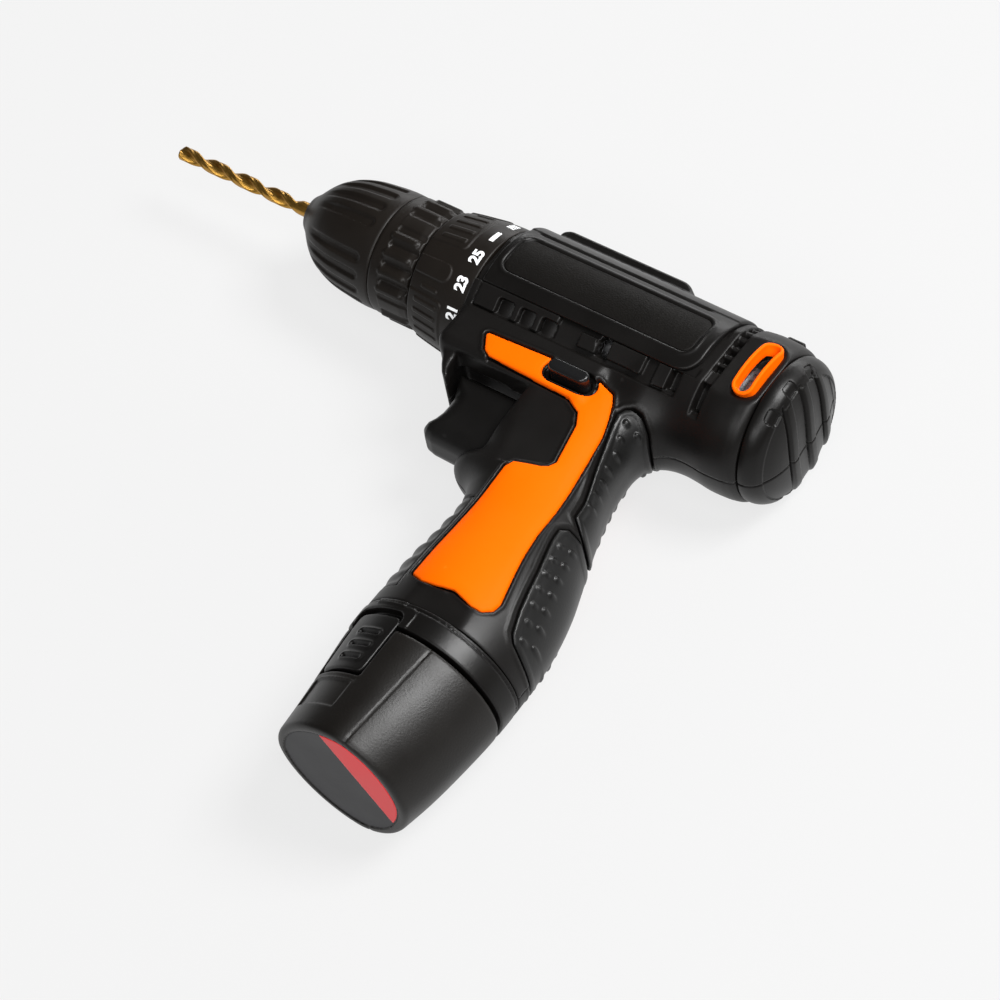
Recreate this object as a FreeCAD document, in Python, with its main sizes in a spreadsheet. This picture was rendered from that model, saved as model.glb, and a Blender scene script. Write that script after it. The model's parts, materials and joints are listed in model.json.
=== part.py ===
import FreeCAD, Part
import math
import os
import re
import Sketcher
from FreeCAD import Rotation, Vector

# Cordless drill driver lying on its right side.
#
# Everything is drawn about the spindle axis: X runs forward along the spindle
# (x = 0 is 3.2 mm behind the seam of the rear cap), Y points down the handle
# and Z points to the drill's left.  Each finished sub-part is then moved by
# (spindle_x, spindle_y, spindle_z), which puts the origin of the row at the
# middle of the footprint, on the surface that the drill lies on.

doc = FreeCAD.newDocument("CordlessDrill")

# ---------------------------------------------------------------- dimensions
DIMS = {
    # place of the spindle axis in the row frame
    "spindle_x": -111.3,
    "spindle_y": -68.75,
    "spindle_z": 25.2,
    # housing barrel
    "barrel_start": 3.2,
    "barrel_end": 104.0,
    "barrel_radius": 25.0,
    "barrel_bore": 22.0,
    "wall": 2.6,
    "grip_wall": 2.2,
    "skin": 1.3,
    # saddle cover over the barrel, with the raised block of the speed selector
    "cover_start": 25.0,
    "cover_end": 101.5,
    "cover_radius": 25.2,
    "cover_seat": 23.4,
    "cover_edge_y": 10.0,
    "block_half": 8.5,
    "block_top": -28.4,
    # block under the barrel that carries the trigger
    "chin_bottom": 33.0,
    "chin_half": 18.5,
    "guard_half": 14.0,
    # lower end of the handle and battery
    "grip_end": 119.0,
    "collar_start": 119.3,
    "collar_end": 127.3,
    "pack_top": 127.8,
    "pack_bottom": 166.5,
    "pack_plate": 1.8,
    "cell_radius": 9.0,
    "cell_pitch": 18.1,
    "cell_top": 98.0,
    "cell_length": 65.0,
    "cells_rear_x": 37.0,
    "tower_top": 95.0,
    "tower_wall": 0.8,
    # motor
    "can_start": 8.0,
    "can_end": 60.0,
    "can_radius": 18.0,
    "can_wall": 1.4,
    "magnet_radius": 13.6,
    "core_radius": 12.9,
    "shaft_radius": 1.58,
    "shaft_rear": 0.5,
    "shaft_front": 75.2,
    # planetary gearbox, two equal stages
    "gear_module": 0.9,
    "sun_teeth": 12,
    "planet_teeth": 12,
    "ring_teeth": 36,
    "gear_backlash": 0.08,
    "gear_addendum": 0.95,
    "ring_addendum": 0.56,
    "gear_dedendum": 1.25,
    "pressure_angle": 20.0,
    "ring_radius": 19.5,
    "case_bore": 19.7,
    "case_radius": 21.5,
    "case_start": 62.8,
    "case_wall_x": 97.2,
    "case_front": 101.0,
    "neck_radius": 13.0,
    "neck_bore": 9.3,
    "neck_end": 124.4,
    "rear_planet_x": 66.4,
    "front_planet_x": 79.3,
    "planet_width": 8.6,
    "pin_radius": 1.95,
    "planet_bore": 2.0,
    "carrier_radius": 14.5,
    # spindle and chuck
    "journal_radius": 4.98,
    "spindle_radius": 5.95,
    "running_gap": 0.05,
    "chuck_body_radius": 17.0,
    "jaw_radius": 3.5,
    "jaw_angle": 15.0,
    "jaw_front": 172.5,
    "jaw_rear": 144.0,
    "jaw_front_offset": 3.5,
    "bit_radius": 2.4,
    "bit_start": 141.0,
    "bit_shank_end": 184.0,
    "bit_tip": 234.6,
    "bit_turns": 3.0,
    # torque collar and clutch
    "collar_front": 126.8,
    "collar_rear": 104.4,
    "collar_bore": 19.2,
    # controls
    "trigger_half": 8.5,
    "well_top": 30.2,
    "well_bottom": 58.8,
    "well_front": 95.4,
    "button_x": 59.0,
    "button_y": 25.5,
    "button_length": 14.0,
    "button_thick": 4.5,
    "button_half": 23.0,
    "selector_x": 74.0,
    "selector_length": 14.0,
    "selector_half": 5.0,
    "selector_top": -29.0,
    "selector_travel": 6.0,
    "shift_pin_x": 87.3,
    # latches on the battery
    "latch_x": 47.5,
    "latch_length": 12.5,
    "latch_top": 128.6,
    "latch_height": 20.0,
    "latch_floor": 15.9,
}

sheet = doc.addObject("Spreadsheet::Sheet", "Dims")
for row, (alias, number) in enumerate(DIMS.items(), start=1):
    sheet.set(f"A{row}", alias)
    sheet.set(f"B{row}", str(number))
    sheet.setAlias(f"B{row}", alias)
doc.recompute()

SUBPARTS = []
OPEN = 60.0     # reach of a cutting tool that only has to clear the housing


# ------------------------------------------------------------------- helpers
def cell(alias):
    """Value of one cell of the sheet, for shapes that are set in code."""
    return float(sheet.get(alias))


def bound(text):
    """Expression in which every alias is read from the sheet."""
    if isinstance(text, float):
        return f"{text:.9f}"
    return re.sub(r"[a-z][a-z_]*", lambda word: "Dims." + word.group(), str(text))


def value(text):
    """Number that an expression over aliases gives now."""
    return float(sheet.evalExpression(bound(text)))


def bind(item, sizes, place=()):
    """Bind properties and, in the order x, y, z, the place of an object."""
    for name, text in sizes.items():
        item.setExpression(name, bound(text))
    for axis, text in zip("xyz", place):
        item.setExpression(f"Placement.Base.{axis}", bound(text))


def finish(item, label, turn=0):
    """Name a finished sub-part and move it from the spindle to the row frame."""
    item.Label = label
    item.Placement = FreeCAD.Placement(Vector(), Rotation(Vector(1, 0, 0), turn))
    bind(item, {}, ("spindle_x", "spindle_y", "spindle_z"))
    SUBPARTS.append(item)
    return item


def rod(name, start, length, radius, y=0, z=0):
    """Cylinder along X."""
    item = doc.addObject("Part::Cylinder", name)
    item.Placement = FreeCAD.Placement(Vector(), Rotation(Vector(0, 1, 0), 90))
    bind(item, {"Radius": radius, "Height": length}, (start, y, z))
    return item


def post(name, x, y, low, high, radius):
    """Cylinder across the drill, along Z."""
    item = doc.addObject("Part::Cylinder", name)
    bind(item, {"Radius": radius, "Height": f"({high}) - ({low})"}, (x, y, low))
    return item


def pillar(name, x, y, z, length, radius):
    """Cylinder down the handle, along Y."""
    item = doc.addObject("Part::Cylinder", name)
    item.Placement = FreeCAD.Placement(Vector(), Rotation(Vector(1, 0, 0), -90))
    bind(item, {"Radius": radius, "Height": length}, (x, y, z))
    return item


def box(name, x, y, z, length, width, height):
    """Box from its lowest corner."""
    item = doc.addObject("Part::Box", name)
    bind(item, {"Length": length, "Width": width, "Height": height}, (x, y, z))
    return item


def cut(name, base, *tools):
    """Base with each tool taken away, one after the other."""
    for number, tool in enumerate(tools, start=1):
        item = doc.addObject("Part::Cut", name if number == len(tools) else f"{name}_step_{number}")
        item.Base = base
        item.Tool = tool
        base = item
    return base


def fuse(name, *items):
    item = doc.addObject("Part::MultiFuse", name)
    item.Shapes = list(items)
    return item


def common(name, base, tool):
    item = doc.addObject("Part::Common", name)
    item.Base = base
    item.Tool = tool
    return item


def group(name, items):
    """Separate identical solids that share one node."""
    item = doc.addObject("Part::Compound", name)
    item.Links = list(items)
    return item


def sketch(body, name, points, plane="XY_Plane"):
    """Closed outline whose corners are bound to the sheet."""
    item = body.newObject("Sketcher::SketchObject", name)
    item.AttachmentSupport = [(next(f for f in body.Origin.OriginFeatures if f.Role == plane), "")]
    item.MapMode = "FlatFace"
    spots = [Vector(value(x), value(y), 0) for x, y in points]
    count = len(points)
    for index, spot in enumerate(spots):
        item.addGeometry(Part.LineSegment(spot, spots[(index + 1) % count]), False)
    for index in range(count):
        item.addConstraint(Sketcher.Constraint("Coincident", index, 2, (index + 1) % count, 1))
    for index, (point, spot) in enumerate(zip(points, spots)):
        for kind, text, size in (("DistanceX", point[0], spot.x), ("DistanceY", point[1], spot.y)):
            number = item.addConstraint(Sketcher.Constraint(kind, -1, 1, index, 1, size))
            item.setExpression(f"Constraints[{number}]", bound(text))
    return item


def turned(name, points):
    """Body turned about the spindle axis from (x, radius) corners."""
    body = doc.addObject("PartDesign::Body", name)
    profile = sketch(body, name + "_profile", points)
    turn = body.newObject("PartDesign::Revolution", name + "_turn")
    turn.Profile = profile
    turn.ReferenceAxis = (profile, ["H_Axis"])
    turn.Angle = 360
    doc.recompute()
    return body


def plate(name, points, half=None, low=None, high=None):
    """Body padded across the drill from a side outline of (x, y) corners."""
    body = doc.addObject("PartDesign::Body", name)
    profile = sketch(body, name + "_profile", points)
    pad = body.newObject("PartDesign::Pad", name + "_pad")
    pad.Profile = profile
    if half is not None:
        pad.Midplane = True
        bind(pad, {"Length": f"2 * ({half})"})
    else:
        bind(profile, {"AttachmentOffset.Base.z": low})
        bind(pad, {"Length": f"({high}) - ({low})"})
    doc.recompute()
    return body


def round_edges(body, name, radius, wanted):
    """Fillet the edges of a body that pass the test."""
    base = body.Tip
    names = [f"Edge{i + 1}" for i, edge in enumerate(base.Shape.Edges) if wanted(edge)]
    item = body.newObject("PartDesign::Fillet", name)
    item.Base = (base, names)
    bind(item, {"Radius": radius})
    body.Tip = item
    doc.recompute()
    return item


def shape_feature(name, shape):
    """Object whose shape is set in code."""
    item = doc.addObject("Part::Feature", name)
    item.Shape = shape
    return item


# ------------------------------------------------- outer form of the housing
# Handle sections: distance below the spindle, centre, half length, half width.
GRIP_SECTIONS = (
    ("14", "60", "27", "17.5"),
    ("30", "57", "24.3", "17.5"),
    ("46", "53.8", "22.2", "17.5"),
    ("62", "49.3", "22.4", "18"),
    ("74", "44.9", "22.4", "19.3"),
    ("86", "43.2", "24.6", "21.4"),
    ("98", "42.3", "26.4", "23"),
    ("112", "41.9", "27.2", "24"),
    ("collar_end", "41.7", "27.2", "24.2"),
)
PACK_SECTIONS = (
    ("pack_top", "41.7", "27.2", "24.2"),
    ("158", "41.5", "24.3", "23.8"),
    ("pack_bottom", "42.6", "22.6", "22.5"),
)


def oval_loft(name, sections, inset="0"):
    """Solid through oval sections that lie across the handle."""
    ovals = []
    for number, (y, centre, length, width) in enumerate(sections, start=1):
        oval = doc.addObject("Part::Ellipse", f"{name}_oval_{number}")
        oval.Placement = FreeCAD.Placement(Vector(), Rotation(Vector(1, 0, 0), 90))
        sizes = {"MajorRadius": f"{length} - ({inset})", "MinorRadius": f"{width} - ({inset})"}
        bind(oval, sizes, (centre, y, "0"))
        ovals.append(oval)
    item = doc.addObject("Part::Loft", name)
    item.Sections = ovals
    item.Solid = True
    return item


CHIN_OUTLINE = (
    ("50", "0"), ("barrel_end", "0"), ("barrel_end", "24"), ("100.5", "chin_bottom"),
    ("53", "chin_bottom"), ("50", "29"),
)
GUARD_OUTLINE = (
    ("95.8", "30"), ("103.2", "30"), ("100.2", "34.8"), ("97.3", "39.1"), ("94.4", "42"),
    ("94.3", "40.4"), ("95.8", "36.4"),
)


def along_chin(edge):
    """True for the two long lower edges of the block under the barrel."""
    return abs(edge.CenterOfMass.y - cell("chin_bottom")) < 0.1 and edge.Length > 2 * cell("chin_half") + 1


def housing_form(name, inset="0"):
    """Barrel, trigger block and handle as one solid, set in by a depth.

    At full size it also has the guard and the small heel on top of the barrel, behind the cover.
    """
    barrel = rod(name + "_barrel", "barrel_start", "barrel_end - barrel_start", f"barrel_radius - ({inset})")
    chin = plate(name + "_chin", CHIN_OUTLINE, half=f"chin_half - ({inset})")
    if inset == "0":
        round_edges(chin, name + "_round", 5, along_chin)
    grip = oval_loft(name + "_grip", GRIP_SECTIONS, inset)
    parts = [barrel, chin, grip]
    if inset == "0":
        parts.append(plate(name + "_guard", GUARD_OUTLINE, half="guard_half"))
        parts.append(box(name + "_heel", 11.5, -28.2, -5, 8.5, 8, 10))
    return fuse(name, *parts)


outer_form = housing_form("outer_form")
skin_form = housing_form("skin_form", "skin")
hollow = fuse(
    "hollow",
    rod("hollow_barrel", "barrel_start - 1", "barrel_end - barrel_start + 2", "barrel_bore"),
    box("hollow_chin", 44, 0, "-chin_half + wall", 57, "chin_bottom - wall", "2 * (chin_half - wall)"),
    oval_loft("hollow_grip", GRIP_SECTIONS, "grip_wall"),
)
skin = cut("skin_shell", outer_form, skin_form)

# ------------------------------------------------ trims set into the housing
# Side outlines, (x, y) corners with y counted down from the spindle axis.
INLAY_OUTLINE = (
    ("46", "24"), ("50.4", "22.8"), ("50.8", "26.5"), ("53.3", "28.9"), ("63", "28.9"), ("67", "27"),
    ("68.2", "23.3"), ("89.6", "24.4"), ("86.9", "28.8"), ("84.9", "29.9"), ("55", "31"),
    ("49.4", "34"), ("46.8", "38.6"), ("43.8", "53.4"), ("45.9", "57.7"), ("55.3", "60.4"),
    ("56", "63"), ("55.7", "108"), ("46.8", "108.3"), ("31.7", "108.2"), ("28.3", "105.4"),
    ("34.1", "82.7"), ("35", "62.9"), ("37.3", "52.3"), ("40.3", "35.8"), ("43", "27.7"),
)
UPPER_GRIP_OUTLINE = (
    ("39", "26.6"), ("39.2", "30.6"), ("36.4", "37"), ("30.8", "64"), ("29", "64.5"),
    ("17.7", "74"), ("5", "74"), ("5", "40"), ("27", "36"),
)
LOWER_GRIP_OUTLINE = (
    ("25", "69.5"), ("30.6", "71.5"), ("30.7", "76.5"), ("20.8", "109"), ("12", "115"),
    ("5", "118"), ("5", "86"), ("14", "80"),
)
FRONT_GRIP_OUTLINE = (("63.2", "74"), ("80", "72"), ("80", "112"), ("62.2", "112"))


TRIM_TOOLS = []


def inlay(name, low, high):
    """Coloured trim in the side of the housing."""
    TRIM_TOOLS.append(plate(name + "_tool", INLAY_OUTLINE, low=low, high=high))
    return common(name, skin, TRIM_TOOLS[-1])


def wrap(name, outline):
    """Soft grip that wraps the handle, made where an outline meets the skin."""
    TRIM_TOOLS.append(plate(name + "_tool", outline, half=OPEN))
    return common(name, skin, TRIM_TOOLS[-1])


SCREW_SPOTS = ((96.5, 26.3), (44.2, 27.0), (36.6, 55.0), (61.5, 70.5), (28.8, 79.5), (59.5, 84.5))
BOSS_RADIUS = 3.2
HEAD_RADIUS = 2.9
HEAD_LOW = -12.0
HEAD_HIGH = -10.0
SCREW_RADIUS = 1.45
SCREW_TIP = 9.0


def screw_hole(index):
    """Sunk well for the head on the right, with the pilot hole beyond it."""
    x, y = SCREW_SPOTS[index]
    well = post(f"screw_well_{index}", x, y, -30, HEAD_HIGH, HEAD_RADIUS + 0.15)
    pilot = post(f"screw_pilot_{index}", x, y, HEAD_HIGH - 1, SCREW_TIP + 0.5, SCREW_RADIUS + 0.05)
    return fuse(f"screw_hole_{index}", well, pilot)


screw_holes = [screw_hole(i) for i in range(len(SCREW_SPOTS))]

inlay_left = inlay("left_trim", "4", str(OPEN))
inlay_right_full = inlay("right_trim_blank", str(-OPEN), "-4")
inlay_right = cut("right_trim", inlay_right_full, group("trim_holes", screw_holes))
upper_grip = wrap("upper_wrap", UPPER_GRIP_OUTLINE)
lower_wrap = wrap("lower_wrap", LOWER_GRIP_OUTLINE)
front_wrap = wrap("front_wrap", FRONT_GRIP_OUTLINE)
lower_grip = cut("lower_wrap_drilled", lower_wrap, group("lower_wrap_holes", screw_holes))
front_grip = cut("front_wrap_drilled", front_wrap, group("front_wrap_holes", screw_holes))

# ------------------------------------------------------------ housing halves
VENT_RADIUS = 2.1       # half width of the oval vent
VENT_RIM = 1.5          # width of the trim round it
VENT_X = 9.3
VENT_REACH = 7.5        # from the middle of the vent to the centre of each round end
VENT_Y = -1.0


def stadium(name, radius, low, high):
    """Upright round-ended prism across the drill, at the oval vent."""
    ends = [post(f"{name}_end_{i}", VENT_X, VENT_Y + side * VENT_REACH, low, high, radius)
            for i, side in enumerate((-1, 1))]
    middle = box(f"{name}_mid", VENT_X - radius, VENT_Y - VENT_REACH, low, 2 * radius, 2 * VENT_REACH,
                 f"({high}) - ({low})")
    return fuse(name, *ends, middle)


def pill(name, margin, low, high):
    """Round-ended prism across the drill, at the direction button."""
    half = f"button_thick / 2 + {margin}"
    reach = "(button_length - button_thick) / 2"
    ends = [post(f"{name}_end_{i}", f"button_x {side} {reach}", "button_y", low, high, half)
            for i, side in enumerate("-+")]
    middle = box(f"{name}_mid", f"button_x - {reach}", f"button_y - ({half})", low,
                 "button_length - button_thick", f"2 * ({half})", f"({high}) - ({low})")
    return fuse(name, *ends, middle)


GRILLE_X = 18.5
GRILLE_LENGTH = 2.8
GRILLE_COUNT = 8
GRILLE_START = -34.0    # degrees up from the flank to the first slot
GRILLE_PITCH = 11.0     # degrees between neighbouring slots


def grille(name, side):
    """Row of slots around one flank of the barrel."""
    slots = []
    for index in range(GRILLE_COUNT):
        slot = doc.addObject("Part::Box", f"{name}_{index}")
        bind(slot, {"Length": GRILLE_LENGTH, "Width": 2.8, "Height": 12})
        angle = GRILLE_START + index * GRILLE_PITCH
        turn = Rotation(Vector(1, 0, 0), side * angle if side > 0 else 180 - angle)
        slot.Placement = FreeCAD.Placement(Vector(GRILLE_X, 0, 0) + turn.multVec(Vector(0, -1.4, 17)), turn)
        slots.append(slot)
    return slots


bosses = [post(f"boss_{i}", x, y, -30, 30, BOSS_RADIUS) for i, (x, y) in enumerate(SCREW_SPOTS)]
ribs = cut(
    "motor_ribs",
    fuse("rib_discs", rod("rib_rear", 26, 2, 22.3), rod("rib_front", 49, 2, 22.3)),
    rod("rib_bore", 20, 40, "can_radius + 0.1"),
)
shell = cut("shell_wall", outer_form, cut("hollow_inside", hollow, ribs, *bosses))

cover_seat_tool = cut(
    "cover_seat_tool",
    box("cover_zone", "cover_start - 0.1", -OPEN, -OPEN, "cover_end - cover_start + 0.2",
        f"{OPEN} + cover_edge_y + 0.1", 2 * OPEN),
    rod("cover_seat_rod", "cover_start - 1", 100, "cover_seat"),
)
trigger_well = box("trigger_well", 66, "well_top", "-trigger_half - 0.4", "well_front - 66",
                   "well_bottom - well_top", "2 * (trigger_half + 0.4)")
button_slot = pill("button_slot", "0.3", "-30", "30")
shift_slot = box("shift_slot", "shift_pin_x - 1.5", -26, -1.5, "selector_travel + 3", 8, 3)
vent_holes = [stadium("vent_hole_left", VENT_RADIUS + VENT_RIM + 0.1, "5", "30"),
              stadium("vent_hole_right", VENT_RADIUS + VENT_RIM + 0.1, "-30", "-5")]
below_grip = box("below_grip", -20, "grip_end", -OPEN, 120, OPEN, 2 * OPEN)

pockets = group("pockets", [cut(f"pocket_{i}", tool, skin_form) for i, tool in enumerate(TRIM_TOOLS)])
small_holes = group("small_holes", [button_slot, shift_slot, *vent_holes, *grille("grille_left", 1),
                                    *grille("grille_right", -1), *screw_holes])
shell_open = cut("shell_open", shell, below_grip, cover_seat_tool, trigger_well, pockets, small_holes)
half_left = box("half_left", -20, -OPEN, 0, 160, 240, OPEN)
half_right = box("half_right", -20, -OPEN, -OPEN, 160, 240, OPEN)

finish(common("left_half", shell_open, half_left), "housing_left")
finish(common("right_half", shell_open, half_right), "housing_right")
finish(inlay_left, "inlay_left")
finish(inlay_right, "inlay_right")
finish(upper_grip, "rear_grip_upper")
finish(lower_grip, "rear_grip_lower")
finish(front_grip, "front_grip")
doc.recompute()

# ------------------------------------------------ saddle cover and its labels
PANEL_OUTLINE = (
    ("33", "-10.4"), ("95", "-10.4"), ("98.4", "-7.4"), ("98.4", "2.2"), ("95", "5.2"), ("33", "5.2"),
    ("29.5", "2.2"), ("29.5", "-7.4"),
)
BLOCK_OUTLINE = (
    ("46.5", "-22"), ("46.5", "-25.2"), ("48.5", "-26"), ("53", "block_top"), ("96.5", "block_top"),
    ("98.5", "-27"), ("99.5", "-24.5"), ("99.5", "-22"),
)
PANEL_DEPTH = 24.2
PANEL_FACE = 24.7

cover_band = common(
    "cover_band",
    cut("cover_ring", rod("cover_outside", "cover_start", "cover_end - cover_start", "cover_radius"),
        rod("cover_inside", 20, 100, "cover_seat")),
    box("cover_reach", 0, -OPEN, -OPEN, 120, f"{OPEN} + cover_edge_y", 2 * OPEN),
)
selector_block = cut("selector_block", plate("block", BLOCK_OUTLINE, half="block_half"),
                     rod("block_bore", 20, 100, "cover_seat"))
panel_tools = [plate(f"panel_{side}_tool", PANEL_OUTLINE, low=low, high=high)
               for side, low, high in (("left", "9", "30"), ("right", "-30", "-9"))]
panel_core = rod("panel_core", 20, 90, PANEL_DEPTH)
selector_well = fuse(
    "selector_well",
    box("selector_well_top", "selector_x - 0.5", -40, "-selector_half - 0.3",
        "selector_length + selector_travel + 1", 15, "2 * (selector_half + 0.3)"),
    box("selector_well_pin", "shift_pin_x - 1.5", -40, -1.5, "selector_travel + 3", 20, 3),
)
panel_recesses = group("panel_recesses", [cut(f"panel_recess_{i}", tool, panel_core)
                                          for i, tool in enumerate(panel_tools)])
finish(cut("saddle", fuse("saddle_blank", cover_band, selector_block), panel_recesses, selector_well),
       "top_cover")
panel_shell = cut("panel_shell", rod("panel_face", 20, 90, PANEL_FACE), panel_core)
finish(group("panels", [common(f"panel_{i}", panel_shell, tool) for i, tool in enumerate(panel_tools)]),
       "label_panels")

selector_cap = box("selector_cap", "selector_x", "selector_top", "-selector_half", "selector_length",
                   "-25.3 - selector_top", "2 * selector_half")
selector_pin = pillar("selector_pin", "shift_pin_x", -26, 0, 7.6, 1.2)
selector_ridges = [box(f"selector_ridge_{i}", f"selector_x + {2.5 + 2.2 * i}", "selector_top",
                       "-selector_half", 1.0, 0.5, "2 * selector_half") for i in range(5)]
finish(cut("selector_slider", fuse("selector_blank", selector_cap, selector_pin),
           group("selector_grooves", selector_ridges)), "speed_selector")

# ----------------------------------------------------- rear cap and vent trims
finish(turned("cap_body", (
    ("-12", "0"), ("-11.4", "8"), ("-8.6", "15.5"), ("-4.2", "20.5"), ("0", "23"),
    ("barrel_start", "23.5"), ("barrel_start", "21.6"), ("6.8", "21.6"), ("6.8", "19.6"),
    ("0.5", "19.6"), ("-3", "17"), ("-7", "12.5"), ("-9.4", "6"), ("-9.6", "0"),
)), "rear_cap")

vent_band = cut("vent_band", rod("vent_outside", 2, 20, "cover_radius"),
                rod("vent_inside", 1, 22, "barrel_bore + 0.4"))
vent_trims = []
for side, low, high in (("left", "5", "30"), ("right", "-30", "-5")):
    frame_tool = cut(f"vent_frame_{side}", stadium(f"vent_rim_{side}", VENT_RADIUS + VENT_RIM, low, high),
                     stadium(f"vent_slot_{side}", VENT_RADIUS, low, high))
    vent_trims.append(common(f"vent_trim_{side}", vent_band, frame_tool))
finish(group("vent_trims", vent_trims), "vent_rings")

# ------------------------------------------------------ collar of the handle
collar_slab = box("collar_slab", -20, "collar_start", -OPEN, 120, "collar_end - collar_start", 2 * OPEN)
finish(common("collar_ring", shell, collar_slab), "handle_collar")

# -------------------------------------------------------------------- screws
screws = []
for index, (x, y) in enumerate(SCREW_SPOTS):
    head = post(f"screw_head_{index}", x, y, HEAD_LOW, HEAD_HIGH, HEAD_RADIUS)
    shank = post(f"screw_shank_{index}", x, y, HEAD_HIGH, SCREW_TIP, SCREW_RADIUS)
    socket = post(f"screw_socket_{index}", x, y, HEAD_LOW, f"{HEAD_LOW} + 1", 1.2)
    screws.append(cut(f"screw_{index}", fuse(f"screw_blank_{index}", head, shank), socket))
finish(group("screws", screws), "housing_screws")

# --------------------------------------------------------------------- motor
finish(turned("can_body", (
    ("can_start", "can_radius"), ("can_end", "can_radius"), ("can_end", "8.5"), ("62.4", "8.5"),
    ("62.4", "2.2"), ("can_end - can_wall", "2.2"), ("can_end - can_wall", "can_radius - can_wall"),
    ("can_start", "can_radius - can_wall"),
)), "motor_can")
finish(turned("bell_body", (
    ("2", "can_radius"), ("can_start", "can_radius"), ("can_start", "can_radius - can_wall - 0.1"),
    ("11", "can_radius - can_wall - 0.1"), ("11", "3"), ("2", "3"),
)), "motor_end_bell")
MAGNET_SPAN = 130.0
magnets = []
for index in range(2):
    arcs = []
    for name, radius in (("outer", "can_radius - can_wall - 0.1"), ("inner", "magnet_radius")):
        arc = rod(f"magnet_{name}_{index}", 14, 40, radius)
        arc.Angle = MAGNET_SPAN
        arc.Placement.Rotation = Rotation(Vector(1, 0, 0), 180 * index).multiply(arc.Placement.Rotation)
        arcs.append(arc)
    magnets.append(cut(f"magnet_{index}", *arcs))
finish(group("magnets", magnets), "motor_magnets")
BRUSH_GAP = 5.06
brushes = [box(f"brush_{i}", 12.8, low, -2, 3.6, 6, 4) for i, low in enumerate((BRUSH_GAP, -BRUSH_GAP - 6))]
finish(group("brushes", brushes), "motor_brushes")

SLOT_COUNT = 5


def spokes(name, start, length, inner, outer, width):
    """Bars round the shaft, one for each slot of the armature."""
    bars = []
    for index in range(SLOT_COUNT):
        bar = doc.addObject("Part::Box", f"{name}_{index}")
        bind(bar, {"Length": length, "Width": outer - inner, "Height": width})
        turn = Rotation(Vector(1, 0, 0), index * 360 / SLOT_COUNT)
        bar.Placement = FreeCAD.Placement(turn.multVec(Vector(start, inner, -width / 2)), turn)
        bars.append(bar)
    return bars


core_blank = cut("core_blank", rod("core", 21, 30, "core_radius"),
                 rod("core_bore", 20, 32, "shaft_radius + 0.02"))
core_slots = group("core_slots", spokes("core_slot", 20, 32, 5.6, 14, 3.4))
finish(cut("core_slotted", core_blank, core_slots), "rotor_core")
coil_ends = [cut(f"coil_end_{i}", rod(f"coil_ring_{i}", x, 3.6, 11.6), rod(f"coil_hole_{i}", x - 1, 6, 3.2))
             for i, x in enumerate((17.3, 51.1))]
finish(fuse("coils", *coil_ends, *spokes("coil_bar", 20.5, 31, 5.8, 11.4, 3.0)), "rotor_windings")
finish(cut("commutator_ring", rod("commutator_rod", 12.3, 4.6, 5),
           rod("commutator_bore", 12, 6, "shaft_radius + 0.02")), "commutator")
shaft = rod("shaft", "shaft_rear", "shaft_front - shaft_rear", "shaft_radius")
finish(group("shaft_piece", [shaft]), "motor_shaft")


# --------------------------------------------------------------- gear teeth
FLANK_STEPS = 3


def involute(angle):
    return math.tan(angle) - angle


def gear_prism(start, length, teeth, tip, root, slack, phase):
    """Prism along X with involute teeth, one of them centred on the phase angle.

    The slack is taken off each tooth's width on the pitch circle.
    """
    module = cell("gear_module")
    pressure = math.radians(cell("pressure_angle"))
    pitch_radius = module * teeth / 2
    base_radius = pitch_radius * math.cos(pressure)
    half_pitch = (math.pi * module / 2 - slack) / (2 * pitch_radius)
    low = max(base_radius, root)
    radii = [low + (tip - low) * i / FLANK_STEPS for i in range(FLANK_STEPS + 1)]
    if root < base_radius:
        radii.insert(0, root)

    def half_angle(radius):
        at = math.acos(min(1.0, base_radius / radius))
        return half_pitch + involute(pressure) - involute(at)

    corners = []
    for tooth in range(teeth):
        middle = phase + 2 * math.pi * tooth / teeth
        flank = [(r, half_angle(max(r, base_radius))) for r in radii]
        corners += [(r, middle - a) for r, a in flank] + [(r, middle + a) for r, a in reversed(flank)]
    points = [Vector(start, r * math.cos(a), r * math.sin(a)) for r, a in corners]
    return Part.Face(Part.makePolygon(points + points[:1])).extrude(Vector(length, 0, 0))


def external_gear(name, start, length, teeth, phase):
    pitch_radius = cell("gear_module") * teeth / 2
    tip = pitch_radius + cell("gear_module") * cell("gear_addendum")
    root = pitch_radius - cell("gear_module") * cell("gear_dedendum")
    return shape_feature(name, gear_prism(start, length, teeth, tip, root, cell("gear_backlash"), phase))


def ring_spaces(name, start, length):
    """Teeth-shaped prism that leaves an internal gear when it is cut away."""
    teeth = int(cell("ring_teeth"))
    pitch_radius = cell("gear_module") * teeth / 2
    tip = pitch_radius + cell("gear_module") * cell("gear_dedendum")
    root = pitch_radius - cell("gear_module") * cell("ring_addendum")
    slack = -cell("gear_backlash")
    return shape_feature(name, gear_prism(start, length, teeth, tip, root, slack, math.pi / teeth))


SUN_TEETH = int(cell("sun_teeth"))
PLANET_TEETH = int(cell("planet_teeth"))
ORBIT = "gear_module * (sun_teeth + planet_teeth) / 2"
PLANETS = 3

# ------------------------------------------------------------------- gearbox
case_body = turned("case_body", (
    ("case_start", "9"), ("case_start", "case_radius"), ("case_front", "case_radius"),
    ("case_front", "neck_radius"), ("neck_end", "neck_radius"), ("neck_end", "neck_bore"),
    ("case_wall_x", "neck_bore"), ("case_wall_x", "case_bore"), ("64.4", "case_bore"), ("64.4", "9"),
))
case_slot = box("case_slot", "shift_pin_x - 1.5", -24, -1.5, "selector_travel + 3", 6, 3)
finish(cut("case_slotted", case_body, case_slot), "gearbox_case")

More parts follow.
